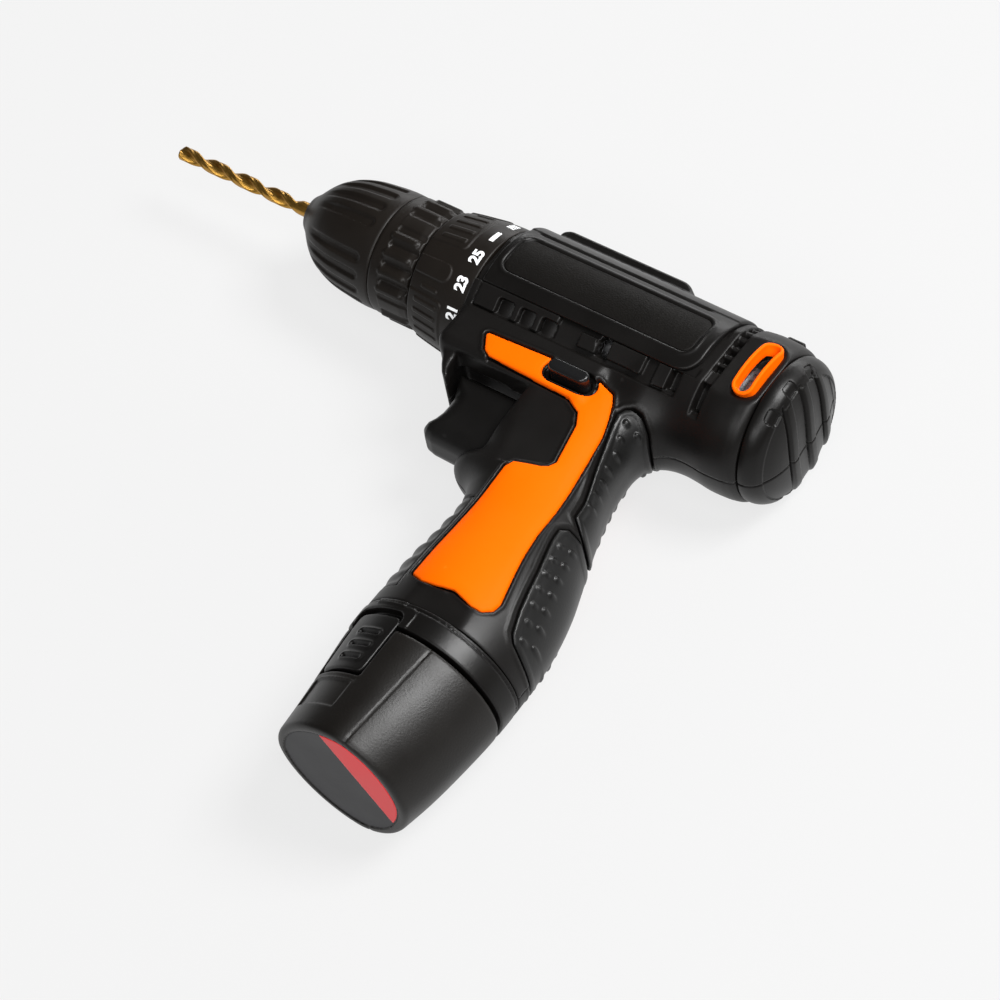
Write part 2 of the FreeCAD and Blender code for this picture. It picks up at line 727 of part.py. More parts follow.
rear_ring_blank = rod("rear_ring_blank", 64.8, 10.5, "ring_radius")
finish(cut("rear_ring", rear_ring_blank, ring_spaces("rear_ring_spaces", 64, 12)), "ring_gear_rear")
front_ring_blank = cut("front_ring_blank", rod("front_ring_rod", 78.5, 12.4, "ring_radius"),
                       cut("shift_groove", rod("groove_outer", "shift_pin_x - 1.3", 2.6, 21),
                           rod("groove_inner", "shift_pin_x - 2", 4, 18.3)))
finish(cut("front_ring", front_ring_blank, ring_spaces("front_ring_spaces", 78, 14)), "ring_gear_front")

pinion = cut("pinion", external_gear("pinion_teeth", 65.0, 9.8, SUN_TEETH, 0.0),
             rod("pinion_bore", 64, 12, "shaft_radius + 0.02"))
finish(pinion, "motor_pinion")

for stage, start in (("rear", "rear_planet_x"), ("front", "front_planet_x")):
    for number in range(PLANETS):
        teeth = external_gear(f"{stage}_planet_teeth_{number}", value(start), value("planet_width"),
                              PLANET_TEETH, math.pi / PLANET_TEETH)
        teeth.Placement = FreeCAD.Placement(Vector(0, value(ORBIT), 0), Rotation())
        bore = rod(f"{stage}_planet_bore_{number}", f"{start} - 1", "planet_width + 2", "planet_bore",
                   y=ORBIT)
        finish(cut(f"{stage}_planet_{number}", teeth, bore), f"planet_{stage}_{number + 1}",
               turn=360 / PLANETS * number)


def carrier_pins(stage, start, end):
    pins = []
    for number in range(PLANETS):
        angle = 2 * math.pi * number / PLANETS
        pins.append(rod(f"{stage}_pin_{number}", start, f"{end} - {start}", "pin_radius",
                        y=f"({ORBIT}) * {math.cos(angle):.9f}", z=f"({ORBIT}) * {math.sin(angle):.9f}"))
    return pins


rear_disc = rod("rear_carrier_disc", 75.6, 2.4, "carrier_radius")
front_sun = external_gear("front_sun_teeth", 77.5, 10.4, SUN_TEETH, 0.0)
rear_pins = carrier_pins("rear", "rear_planet_x", "76")
finish(fuse("rear_carrier", rear_disc, front_sun, *rear_pins), "carrier_rear")
front_disc = cut("front_carrier_disc", rod("front_disc_rod", 88.5, 3.5, "carrier_radius"),
                 rod("front_disc_bore", 88, 5, "journal_radius + 0.02"))
finish(fuse("front_carrier", front_disc, *carrier_pins("front", "front_planet_x", "89")), "carrier_front")

# -------------------------------------------------------- spindle and clutch
finish(turned("spindle_body", (
    ("88.6", "0"), ("88.6", "journal_radius"), ("barrel_end", "journal_radius"),
    ("barrel_end", "spindle_radius"), ("137", "spindle_radius"), ("137.6", "spindle_radius - 0.6"),
    ("137.6", "0"),
)), "spindle")
BEARINGS = (("rear", 97.4, 6.2, "journal_radius"), ("front", 116, 7.6, "spindle_radius"))
bearings = []
for name, start, length, bore in BEARINGS:
    bearings.append(cut(f"{name}_bearing", rod(f"{name}_race", start, length, "neck_bore - 0.02"),
                        rod(f"{name}_race_bore", start - 1, length + 2, f"{bore} + running_gap")))
finish(group("bearings", bearings), "spindle_bearings")

BALL_COUNT = 6
BALL_CIRCLE = 16.2
BALL_RADIUS = 2.3
balls = []
for index in range(BALL_COUNT):
    ball = doc.addObject("Part::Sphere", f"ball_{index}")
    angle = 2 * math.pi * index / BALL_COUNT
    bind(ball, {"Radius": BALL_RADIUS}, (f"case_front + {BALL_RADIUS} + 0.03", BALL_CIRCLE * math.cos(angle),
                                         BALL_CIRCLE * math.sin(angle)))
    balls.append(ball)
finish(group("balls", balls), "clutch_balls")
finish(cut("washer", rod("washer_disc", 105.8, 1.2, 18.6), rod("washer_bore", 105, 4, "neck_radius + 0.1")),
       "clutch_washer")


def coil_spring(name, start, length, turns, radius, wire, y=0.0):
    """Round-wire compression spring along X."""
    pitch = (length - 2 * wire) / turns
    path = Part.Wire(Part.makeHelix(pitch, length - 2 * wire, radius))
    profile = Part.Wire(Part.makeCircle(wire, Vector(radius, 0, 0), Vector(0, 1, 0)))
    coil = shape_feature(name + "_coil", path.makePipeShell([profile], True, True))
    coil.Placement = FreeCAD.Placement(Vector(start + wire, y, 0), Rotation(Vector(0, 1, 0), 90))
    return group(name, [coil])


finish(coil_spring("clutch_coil", 107.2, 11.0, 3, 15.8, 1.1), "clutch_spring")


def lugs(name, start, length, outer, width):
    """Three keys between the clutch nut and the torque collar."""
    keys = []
    for index in range(3):
        key = doc.addObject("Part::Box", f"{name}_{index}")
        bind(key, {"Length": length, "Width": outer - 17.5, "Height": width})
        turn = Rotation(Vector(1, 0, 0), 120 * index + 60)
        key.Placement = FreeCAD.Placement(turn.multVec(Vector(start, 17.5, -width / 2)), turn)
        keys.append(key)
    return keys


nut_blank = fuse("nut_blank", rod("nut_rod", 118.5, 3.8, 18.7), *lugs("nut_lug", 118.5, 3.8, 20.0, 3.0))
finish(cut("nut_ring", nut_blank, rod("nut_bore", 118, 5, "neck_radius + 0.05")), "clutch_nut")
collar_body = turned("collar_body", (
    ("collar_rear", "collar_bore"), ("collar_rear", "22.4"), ("105.4", "23"), ("110", "23"), ("117", "22.1"),
    ("125.6", "20.6"), ("collar_front", "19.6"), ("collar_front", "12"), ("124.6", "12"),
    ("124.6", "collar_bore"),
))
keyways = group("collar_keyways", lugs("keyway", 106, 18.6, 20.2, 3.4))
finish(cut("collar_keyed", collar_body, keyways), "torque_collar")

# --------------------------------------------------------------------- chuck
JAW_SLOPE = math.tan(math.radians(cell("jaw_angle")))


def jaw_offset(x):
    """Distance of a jaw's centre line from the spindle axis at x."""
    return cell("jaw_front_offset") + (cell("jaw_front") - x) * JAW_SLOPE


def slanted(name, start, end, radius, turn=0):
    """Cylinder along the slanted path of a jaw."""
    angle = cell("jaw_angle")
    item = doc.addObject("Part::Cylinder", name)
    bind(item, {"Radius": radius, "Height": f"({end} - {start}) / {math.cos(math.radians(angle)):.9f}"})
    spin = Rotation(Vector(1, 0, 0), turn)
    lean = Rotation(Vector(0, 0, 1), Vector(math.cos(math.radians(angle)), -math.sin(math.radians(angle)), 0))
    item.Placement = FreeCAD.Placement(spin.multVec(Vector(start, jaw_offset(start), 0)), spin.multiply(lean))
    return item


finish(turned("rear_sleeve_body", (
    ("127.6", "6.3"), ("127.6", "19.2"), ("129", "20"), ("141.9", "19.7"), ("142.8", "19.2"),
    ("142.8", "chuck_body_radius + 0.05"), ("129.5", "chuck_body_radius + 0.05"), ("129.5", "6.3"),
)), "chuck_rear_sleeve")
chuck_blank = turned("chuck_blank", (
    ("129.6", "spindle_radius + 0.02"), ("129.6", "chuck_body_radius"), ("149.6", "chuck_body_radius"),
    ("149.6", "11.2"), ("156.3", "11.2"), ("156.3", "16.2"), ("162", "15.2"), ("168", "12.6"),
    ("172.4", "8.3"), ("172.4", "5.3"), ("138", "5.3"), ("138", "spindle_radius + 0.02"),
))
jaw_ways = [slanted(f"jaw_way_{i}", 130, 176, "jaw_radius + 0.08", 360 / 3 * i) for i in range(3)]
finish(cut("chuck_drilled", chuck_blank, *jaw_ways), "chuck_body")

NUT_START = 150.0
NUT_END = 156.0
nut_wall = cell("jaw_radius") / math.cos(math.radians(cell("jaw_angle"))) + 0.12
finish(turned("chuck_nut_body", (
    (NUT_START, jaw_offset(NUT_START) + nut_wall), (NUT_START, 17.4), (NUT_END, 17.4),
    (NUT_END, jaw_offset(NUT_END) + nut_wall),
)), "chuck_nut")
finish(turned("front_sleeve_body", (
    ("143.1", "17.6"), ("143.1", "19.2"), ("144.2", "19.5"), ("154.3", "19"), ("161.8", "18.1"),
    ("168.7", "15.8"), ("174.3", "11.1"), ("177.6", "7.4"), ("178.7", "6.2"), ("178.7", "5.3"),
    ("176.5", "5.3"), ("174.6", "7.6"), ("168", "13.7"), ("161.5", "16.3"), ("156.6", "17.45"),
    ("149.8", "17.45"), ("149.8", "17.6"),
)), "chuck_front_sleeve")

JAW_GRIP = "bit_radius + 0.02"
for number in range(3):
    rod_blank = slanted(f"jaw_rod_{number}", cell("jaw_rear"), cell("jaw_front"), "jaw_radius")
    wedge = doc.addObject("PartDesign::Body", f"jaw_wedge_{number}")
    wedge_profile = sketch(wedge, f"jaw_wedge_profile_{number}", (
        (JAW_GRIP, "-3.9"), ("26", "-42"), ("26", "42"), (JAW_GRIP, "3.9")), plane="YZ_Plane")
    wedge_profile.AttachmentOffset = FreeCAD.Placement(Vector(0, 0, 130), Rotation())
    wedge_pad = wedge.newObject("PartDesign::Pad", f"jaw_wedge_pad_{number}")
    wedge_pad.Profile = wedge_profile
    wedge_pad.Length = 60
    doc.recompute()
    finish(common(f"jaw_{number}", rod_blank, wedge), f"chuck_jaw_{number + 1}", turn=120 * number)


# ------------------------------------------------------------------ drill bit
FLUTE_DEPTH = 0.45      # share of the radius that the web keeps at the flutes


def bit_section(x, turn):
    """Cross-section of the fluted length: two lands and two hollow flutes."""
    radius = cell("bit_radius")
    spots = []
    for angle in (0, 55, 117.5, 180, 235, 297.5):
        depth = FLUTE_DEPTH if angle in (117.5, 297.5) else 1.0
        a = math.radians(angle + turn)
        spots.append(Vector(x, radius * depth * math.cos(a), radius * depth * math.sin(a)))
    lands = []
    for start in (0, 3):
        a = math.radians((0 if start == 0 else 180) + 27.5 + turn)
        crown = Vector(x, radius * math.cos(a), radius * math.sin(a))
        lands.append(Part.Arc(spots[start], crown, spots[start + 1]).toShape())
        lands.append(Part.Arc(spots[start + 1], spots[start + 2], spots[(start + 3) % 6]).toShape())
    return Part.Wire(lands)


SECTIONS_PER_TURN = 8
shank_end = cell("bit_shank_end")
fluted_length = cell("bit_tip") - shank_end
section_count = int(cell("bit_turns") * SECTIONS_PER_TURN)
sections = [bit_section(shank_end + fluted_length * i / section_count, 360 / SECTIONS_PER_TURN * i)
            for i in range(section_count + 1)]
flutes = shape_feature("bit_flutes", Part.makeLoft(sections, True, False))
tip_cone = turned("bit_envelope", (
    ("bit_shank_end - 1", "0"), ("bit_shank_end - 1", "bit_radius + 0.1"),
    ("bit_tip - 1.4", "bit_radius + 0.1"), ("bit_tip", "0"),
))
finish(fuse("bit", common("bit_ground", flutes, tip_cone),
            rod("bit_shank", "bit_start", "bit_shank_end - bit_start", "bit_radius")), "drill_bit")

# ------------------------------------------------------ trigger and switches
TRIGGER_OUTLINE = (
    ("67", "34.4"), ("94.2", "34.4"), ("93.2", "39.5"), ("92.4", "43.2"), ("92.4", "48.1"), ("93.4", "51.6"),
    ("94.4", "54"), ("93.6", "56.1"), ("91.6", "57.2"), ("67", "58.4"),
)
STEM_Y = 40.0
trigger_stem = rod("trigger_stem", 58, 10, 2.4, y=STEM_Y)
trigger_pad = plate("trigger_pad", TRIGGER_OUTLINE, half="trigger_half")
finish(fuse("trigger_piece", trigger_pad, trigger_stem), "trigger")
switch_bore = rod("switch_bore", 51, 11, 2.6, y=STEM_Y)
finish(cut("switch_case", box("switch_box", 40, 31, -9.5, 20.5, 26, 19), switch_bore), "switch_body")
finish(coil_spring("trigger_coil", 60.6, 6.3, 5, 3.4, 0.4, y=STEM_Y), "trigger_spring")
finish(pill("button_bar", "0", "-button_half", "button_half"), "direction_button")
terminal_blank = box("terminal_blank", 33, 82, -8, 20, 11.5, 16)
BLADE_X = (37.0, 43.0, 49.0)
blade_slots = [box(f"blade_slot_{i}", x - 0.65, 89.5, -3.3, 1.3, 6, 6.6) for i, x in enumerate(BLADE_X)]
finish(cut("terminal_slotted", terminal_blank, group("blade_slots", blade_slots)), "terminal_block")

# ------------------------------------------------------------------- battery
CELLS = [(value("cells_rear_x"), value("cell_pitch / 2")), (value("cells_rear_x"), -value("cell_pitch / 2")),
         (value("cells_rear_x") + value("cell_pitch") * math.sin(math.radians(60)), 0.0)]


def cell_stack(name, top, length, radius):
    """Three upright cylinders, one for each cell."""
    return [pillar(f"{name}_{i}", x, top, z, length, radius) for i, (x, z) in enumerate(CELLS)]


tower_radius = cell("cell_radius") + 0.08 + cell("tower_wall")
slope = Vector(math.cos(math.radians(60)), 0, math.sin(math.radians(60))) * tower_radius
rear, front, half = CELLS[0][0], CELLS[2][0], CELLS[0][1]
tower_corners = [
    Vector(rear - tower_radius, 0, -half), Vector(rear - tower_radius, 0, half),
    Vector(rear, 0, half) + slope, Vector(front, 0, 0) + slope,
    Vector(front + slope.x, 0, -slope.z), Vector(rear + slope.x, 0, -half - slope.z),
]
tower_corners = [corner + Vector(0, cell("tower_top"), 0) for corner in tower_corners]
tower_length = cell("pack_top") + 4 - cell("tower_top")
tower_face = Part.Face(Part.makePolygon(tower_corners + tower_corners[:1]))
tower_core = shape_feature("tower_core", tower_face.extrude(Vector(0, tower_length, 0)))
pack_blank = fuse("pack_blank", oval_loft("pack", PACK_SECTIONS), tower_core,
                  *cell_stack("tower_post", "tower_top", tower_length, tower_radius))
cell_wells = cell_stack("cell_well", "cell_top - 0.1", "cell_length + 0.2", "cell_radius + 0.08")
PLATE_SECTIONS = (("pack_bottom - pack_plate", "42.6", "20.2", "20"), ("pack_bottom", "42.6", "20.2", "20"))
plate_recess = oval_loft("plate_recess", PLATE_SECTIONS)
latch_wells = [box(f"latch_well_{i}", "latch_x - 0.3", "latch_top - 0.3", z, "latch_length + 0.6",
                   "latch_height + 0.6", 20)
               for i, z in enumerate(("latch_floor - 2.5", "-latch_floor - 17.5"))]
pack_hollows = group("pack_hollows", [*cell_wells, plate_recess, *latch_wells])
finish(cut("pack_case", pack_blank, pack_hollows), "battery_case")
finish(oval_loft("plate_piece", PLATE_SECTIONS), "battery_base")
finish(group("cells", cell_stack("power_cell", "cell_top", "cell_length", "cell_radius")), "battery_cells")
for side, z in (("left", "latch_floor"), ("right", "-latch_floor - 20")):
    pad = box(f"latch_{side}_box", "latch_x", "latch_top", z, "latch_length", "latch_height", 20)
    form = oval_loft(f"latch_{side}_form", PACK_SECTIONS)
    finish(common(f"latch_{side}_pad", form, pad), f"battery_latch_{side}")
blades = [box(f"blade_{i}", x - 0.4, 90.5, -3, 0.8, "tower_top - 90.5", 6) for i, x in enumerate(BLADE_X)]
finish(group("blades", blades), "battery_contacts")

# -------------------------------------------------------------- check, write
doc.recompute()
failed = [item.Name for item in doc.Objects if {"Invalid", "Error"} & set(item.State)]
if failed:
    raise RuntimeError(f"objects that failed: {failed}")
os.makedirs("parts", exist_ok=True)
for item in SUBPARTS:
    shape = item.Shape
    if shape.isNull() or not shape.isValid() or not shape.Solids:
        raise RuntimeError(f"bad sub-part: {item.Label}")
    shape.exportStep(f"parts/{item.Label}.step")
    print(f"{item.Label}: {len(shape.Solids)} solid(s), {shape.Volume:.0f} mm3")
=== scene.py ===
"""Looks of a cordless drill driver that lies on its right side.

Lengths are millimetres about the spindle axis until a mesh is made: x runs forward along the
spindle, y down the handle and z out of the drill's left side.  Every visible shell is carved from
a distance field, so that its grooves, beads, pockets and soft edges are real geometry.
"""
import json
import math
import bpy
import numpy as np
from mathutils import Matrix, Vector


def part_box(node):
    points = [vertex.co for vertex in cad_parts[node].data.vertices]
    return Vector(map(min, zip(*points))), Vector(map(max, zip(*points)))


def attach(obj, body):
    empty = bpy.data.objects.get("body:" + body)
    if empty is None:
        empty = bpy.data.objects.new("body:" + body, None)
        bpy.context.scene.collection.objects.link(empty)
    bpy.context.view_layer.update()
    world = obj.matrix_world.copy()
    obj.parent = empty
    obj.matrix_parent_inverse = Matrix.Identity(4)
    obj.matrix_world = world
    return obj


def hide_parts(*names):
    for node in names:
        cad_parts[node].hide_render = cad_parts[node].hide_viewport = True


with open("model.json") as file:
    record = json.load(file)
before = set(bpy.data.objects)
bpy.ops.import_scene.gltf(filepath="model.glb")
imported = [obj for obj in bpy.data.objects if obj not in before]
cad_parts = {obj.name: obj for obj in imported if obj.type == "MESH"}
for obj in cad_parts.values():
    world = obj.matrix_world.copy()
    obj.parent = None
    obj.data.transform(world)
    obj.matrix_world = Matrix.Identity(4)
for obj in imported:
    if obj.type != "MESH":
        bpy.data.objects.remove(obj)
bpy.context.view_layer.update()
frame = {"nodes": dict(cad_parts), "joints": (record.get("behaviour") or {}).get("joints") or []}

# -------------------- place
MM = 0.001
CAP_DEPTH = 12.0        # the rear cap ends this far behind x = 0
spindle = next(j for j in frame["joints"] if j["name"] == "spindle_spin")["pos_m"]
ORIGIN = np.array([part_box("rear_cap")[0].x / MM + CAP_DEPTH, spindle[1] / MM, spindle[2] / MM])
BARREL_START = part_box("housing_left")[0].x / MM - ORIGIN[0]
BIT_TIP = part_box("drill_bit")[1].x / MM - ORIGIN[0]
PACK_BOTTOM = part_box("battery_base")[1].y / MM - ORIGIN[1]
PACK_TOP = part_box("battery_latch_left")[0].y / MM - ORIGIN[1] - 0.6
COLLAR_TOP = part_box("handle_collar")[0].y / MM - ORIGIN[1] - 0.5


# -------------------- fields
def smooth_min(a, b, k):
    """Union of two fields with a fillet about k wide."""
    h = np.clip(0.5 + 0.5 * (b - a) / k, 0, 1)
    return b * (1 - h) + a * h - k * h * (1 - h)


def smooth_max(a, b, k):
    """Common part of two fields with a rounded edge about k wide."""
    return -smooth_min(-a, -b, k)


def step_up(v, start, end):
    """0 before start, 1 after end, smooth between."""
    t = np.clip((v - start) / (end - start), 0, 1)
    return t * t * (3 - 2 * t)


def fold(value, period):
    """Value folded into half a period each way."""
    return (value + period / 2) % period - period / 2


def quarter_arc(angle, middle, radius):
    """Arc from the nearest of four repeats round the spindle, the first at angle middle."""
    return fold(angle - middle, 90) * math.radians(1) * radius


def curve(*knots):
    """Smooth function through (place, value) knots."""
    places = np.array([k[0] for k in knots], float)
    values = np.array([k[1] for k in knots], float)
    slopes = np.gradient(values, places)
    table_x = np.linspace(places[0], places[-1], 600)
    i = np.clip(np.searchsorted(places, table_x) - 1, 0, len(places) - 2)
    width = places[i + 1] - places[i]
    t = (table_x - places[i]) / width
    table_y = ((1 + 2 * t) * (1 - t) ** 2 * values[i] + t * (1 - t) ** 2 * width * slopes[i]
               + t * t * (3 - 2 * t) * values[i + 1] + t * t * (t - 1) * width * slopes[i + 1])
    return lambda v: np.interp(v, table_x, table_y)


def outline(u, v, corners, rounding=0.0):
    """Signed distance from a closed outline, with its corners rounded."""
    nearest = np.full(u.shape, 1e9)
    inside = np.zeros(u.shape, bool)
    for (au, av), (bu, bv) in zip(corners, corners[1:] + corners[:1]):
        du, dv = bu - au, bv - av
        t = np.clip(((u - au) * du + (v - av) * dv) / (du * du + dv * dv), 0, 1)
        nearest = np.minimum(nearest, (u - au - t * du) ** 2 + (v - av - t * dv) ** 2)
        if dv:
            inside ^= ((av > v) != (bv > v)) & (u < du * (v - av) / dv + au)
    return np.where(inside, -1, 1) * np.sqrt(nearest) - rounding


def slab(u, low, high):
    return np.maximum(low - u, u - high)


def block2(u, v, centre, half, rounding):
    """Signed distance from a rectangle with round corners."""
    qu = np.abs(u - centre[0]) - half[0] + rounding
    qv = np.abs(v - centre[1]) - half[1] + rounding
    return np.hypot(np.maximum(qu, 0), np.maximum(qv, 0)) + np.minimum(np.maximum(qu, qv), 0) - rounding


def block3(x, y, z, centre, half, rounding):
    q = [np.abs(p - c) - h + rounding for p, c, h in zip((x, y, z), centre, half)]
    outside = np.sqrt(sum(np.maximum(v, 0) ** 2 for v in q))
    return outside + np.minimum(np.maximum(np.maximum(q[0], q[1]), q[2]), 0) - rounding


def stroke(u, v, a, b, radius):
    """Signed distance from a round-ended bar."""
    du, dv = b[0] - a[0], b[1] - a[1]
    t = np.clip(((u - a[0]) * du + (v - a[1]) * dv) / (du * du + dv * dv), 0, 1)
    return np.hypot(u - a[0] - t * du, v - a[1] - t * dv) - radius


def round_plate(edge, z, half, rounding):
    """Plate across the drill with a side outline and rounded rims."""
    qe, qz = edge + rounding, np.abs(z) - half + rounding
    return np.hypot(np.maximum(qe, 0), np.maximum(qz, 0)) + np.minimum(np.maximum(qe, qz), 0) - rounding


def ridge(distance, place, width):
    """Soft bead of height 1 along a line of equal distance."""
    return np.exp(-((distance - place) / width) ** 2)


def flank(y, z):
    """Angle on the barrel in degrees: 0 at either side, 90 at the top, -90 at the bottom."""
    return np.degrees(np.arctan2(-y, np.abs(z)))


# -------------------- mesh making
BLOCK = 6               # cells along each side of a coarse block
DETAIL = 1.6            # how far a field may be off, in millimetres
TURNS = 720             # points round a sleeve or collar


def evaluate(field, points):
    """Values of a field at an (n, 3) array, a chunk at a time."""
    parts = [field(*chunk.T) for chunk in np.array_split(points, max(1, len(points) // 300000))]
    return np.concatenate(parts)


def settle(field, points, reach, times=2):
    """Moves points onto the surface of a field along its slope."""
    h = 0.03
    for _ in range(times):
        value = evaluate(field, points)
        slope = np.stack([evaluate(field, points + h * axis) - evaluate(field, points - h * axis)
                          for axis in np.eye(3)], 1) / (2 * h)
        size = np.maximum((slope ** 2).sum(1), 0.05)
        points = points + np.clip(-value / size, -reach, reach)[:, None] * slope
    return points


def surface_net(field, low, high, step):
    """Vertices and quads of the surface where the field is 0."""
    low, high = np.array(low, float), np.array(high, float)
    blocks = np.ceil((high - low) / (step * BLOCK)).astype(int)
    lines = [low[i] + step * np.arange(blocks[i] * BLOCK + 1) for i in range(3)]
    centres = [low[i] + step * BLOCK * (np.arange(blocks[i]) + 0.5) for i in range(3)]
    spots = np.stack(np.meshgrid(*centres, indexing="ij"), -1).reshape(-1, 3)
    coarse = evaluate(field, spots).reshape(blocks)
    near = np.abs(coarse) < 0.87 * step * BLOCK * 1.35 + DETAIL
    owner = [np.minimum(np.arange(len(line)) // BLOCK, blocks[i] - 1) for i, line in enumerate(lines)]
    grid = coarse[np.ix_(*owner)].astype(np.float32)
    close = near[np.ix_(*owner)]
    index = np.nonzero(close)
    grid[close] = evaluate(field, np.stack([lines[i][index[i]] for i in range(3)], 1))

    inside = grid < 0
    size = [n - 1 for n in grid.shape]
    corners = [(i, j, k) for i in (0, 1) for j in (0, 1) for k in (0, 1)]
    total = np.zeros(size, np.uint8)
    for i, j, k in corners:
        total += inside[i:i + size[0], j:j + size[1], k:k + size[2]]
    active = (total > 0) & (total < 8)
    cells = np.argwhere(active)
    values = {c: grid[cells[:, 0] + c[0], cells[:, 1] + c[1], cells[:, 2] + c[2]] for c in corners}
    place, count = np.zeros((len(cells), 3)), np.zeros(len(cells))
    for a in corners:
        for axis in range(3):
            if a[axis]:
                continue
            b = tuple(1 if i == axis else a[i] for i in range(3))
            crosses = (values[a] < 0) != (values[b] < 0)
            t = np.where(crosses, values[a] / np.where(crosses, values[a] - values[b], 1), 0)
            spot = np.array(a, float) + t[:, None] * (np.array(b) - np.array(a))
            place += np.where(crosses[:, None], spot, 0)
            count += crosses
    points = low + step * (cells + place / count[:, None])
    number = np.full(size, -1, np.int64)
    number[active] = np.arange(len(cells))

    quads = []
    for axis in range(3):
        u, v = (axis + 1) % 3, (axis + 2) % 3
        first, second = [slice(1, -1)] * 3, [slice(1, -1)] * 3
        first[axis], second[axis] = slice(0, -1), slice(1, None)
        start = inside[tuple(first)]
        spots = np.argwhere(start != inside[tuple(second)])
        begins_inside = start[tuple(spots.T)]
        spots[:, u] += 1
        spots[:, v] += 1
        ring = []
        for du, dv in ((1, 1), (0, 1), (0, 0), (1, 0)):
            cell = spots.copy()
            cell[:, u] -= du
            cell[:, v] -= dv
            ring.append(number[tuple(cell.T)])
        ring = np.stack(ring, 1)
        ring[~begins_inside] = ring[~begins_inside][:, ::-1]
        quads.append(ring)
    return settle(field, points, step * 0.6), np.concatenate(quads)


def add_object(name, data):
    item = bpy.data.objects.new(name, data)
    bpy.context.scene.collection.objects.link(item)
    return item


def mesh_object(name, points, faces):
    """Smooth-shaded object from millimetre points about the spindle and equal-sided faces."""
    mesh = bpy.data.meshes.new(name)
    points = (np.asarray(points, float) + ORIGIN) * MM
    faces = np.asarray(faces)
    mesh.vertices.add(len(points))
    mesh.vertices.foreach_set("co", points.astype(np.float32).ravel())
    mesh.loops.add(faces.size)
    mesh.loops.foreach_set("vertex_index", faces.astype(np.int32).ravel())
    mesh.polygons.add(len(faces))
    mesh.polygons.foreach_set("loop_start", np.arange(0, faces.size, faces.shape[1], dtype=np.int32))
    mesh.polygons.foreach_set("use_smooth", np.ones(len(faces), bool))
    mesh.update(calc_edges=True)
    mesh.validate()
    return add_object(name, mesh)


def place_piece(piece, body, slot, look, *nodes):
    """Material, body and the CAD nodes that the piece stands for; the slot argument is not used."""
    piece.data.materials.clear()
    piece.data.materials.append(look)
    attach(piece, body)
    if nodes:
        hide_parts(*nodes)
    return piece


def sculpt(name, field, low, high, step, body, slot, look, *nodes):
    """Piece carved from a field inside a box."""
    coarse = 1.0
    piece = mesh_object(name, *surface_net(field, low, high, step * coarse))
    return place_piece(piece, body, slot, look, *nodes)


def lathe(name, profile, relief, turns, body, slot, look, *nodes):
    """Closed ring about the spindle from (x, radius, share of the relief) profile points."""
    profile = np.array(profile, float)
    angles = np.radians(np.arange(turns) * 360 / turns)
    x = np.repeat(profile[:, 0:1], turns, 1)
    radius = profile[:, 1:2] + profile[:, 2:3] * relief(x, np.degrees(angles)[None, :] + 0 * x)
    points = np.stack([x, -radius * np.sin(angles), radius * np.cos(angles)], -1).reshape(-1, 3)
    rows, columns = np.meshgrid(np.arange(len(profile)), np.arange(turns), indexing="ij")
    next_row, next_column = (rows + 1) % len(profile), (columns + 1) % turns
    quads = np.stack([rows * turns + columns, next_row * turns + columns,
                      next_row * turns + next_column, rows * turns + next_column], -1).reshape(-1, 4)
    return place_piece(mesh_object(name, points, quads), body, slot, look, *nodes)


# -------------------- materials
def new_material(name):
    material = bpy.data.materials.new(name)
    material.use_nodes = True
    nodes, links = material.node_tree.nodes, material.node_tree.links
    return material, nodes, links, nodes["Principled BSDF"]


def noise(nodes, links, place, scale, detail=3.0, roughness=0.55):
    texture = nodes.new("ShaderNodeTexNoise")
    texture.inputs["Scale"].default_value = scale
    texture.inputs["Detail"].default_value = detail
    texture.inputs["Roughness"].default_value = roughness
    links.new(place, texture.inputs["Vector"])
    return texture.outputs["Fac"]


def ramp(nodes, links, source, *stops):
    """Colour ramp over (position, (r, g, b)) stops."""
    item = nodes.new("ShaderNodeValToRGB")
    elements = item.color_ramp.elements
    while len(elements) < len(stops):
        elements.new(0.5)
    for element, (position, colour) in zip(elements, stops):
        element.position = position
        element.color = (*colour, 1)
    links.new(source, item.inputs["Fac"])
    return item.outputs["Color"]


def spread(nodes, links, source, low, high, new_low, new_high):
    item = nodes.new("ShaderNodeMapRange")
    for name, value in (("From Min", low), ("From Max", high), ("To Min", new_low), ("To Max", new_high)):
        item.inputs[name].default_value = value
    links.new(source, item.inputs["Value"])
    return item.outputs["Result"]


def bump(nodes, links, shader, height, strength, distance):
    item = nodes.new("ShaderNodeBump")
    item.inputs["Strength"].default_value = strength
    item.inputs["Distance"].default_value = distance
    links.new(height, item.inputs["Height"])
    links.new(item.outputs["Normal"], shader.inputs["Normal"])


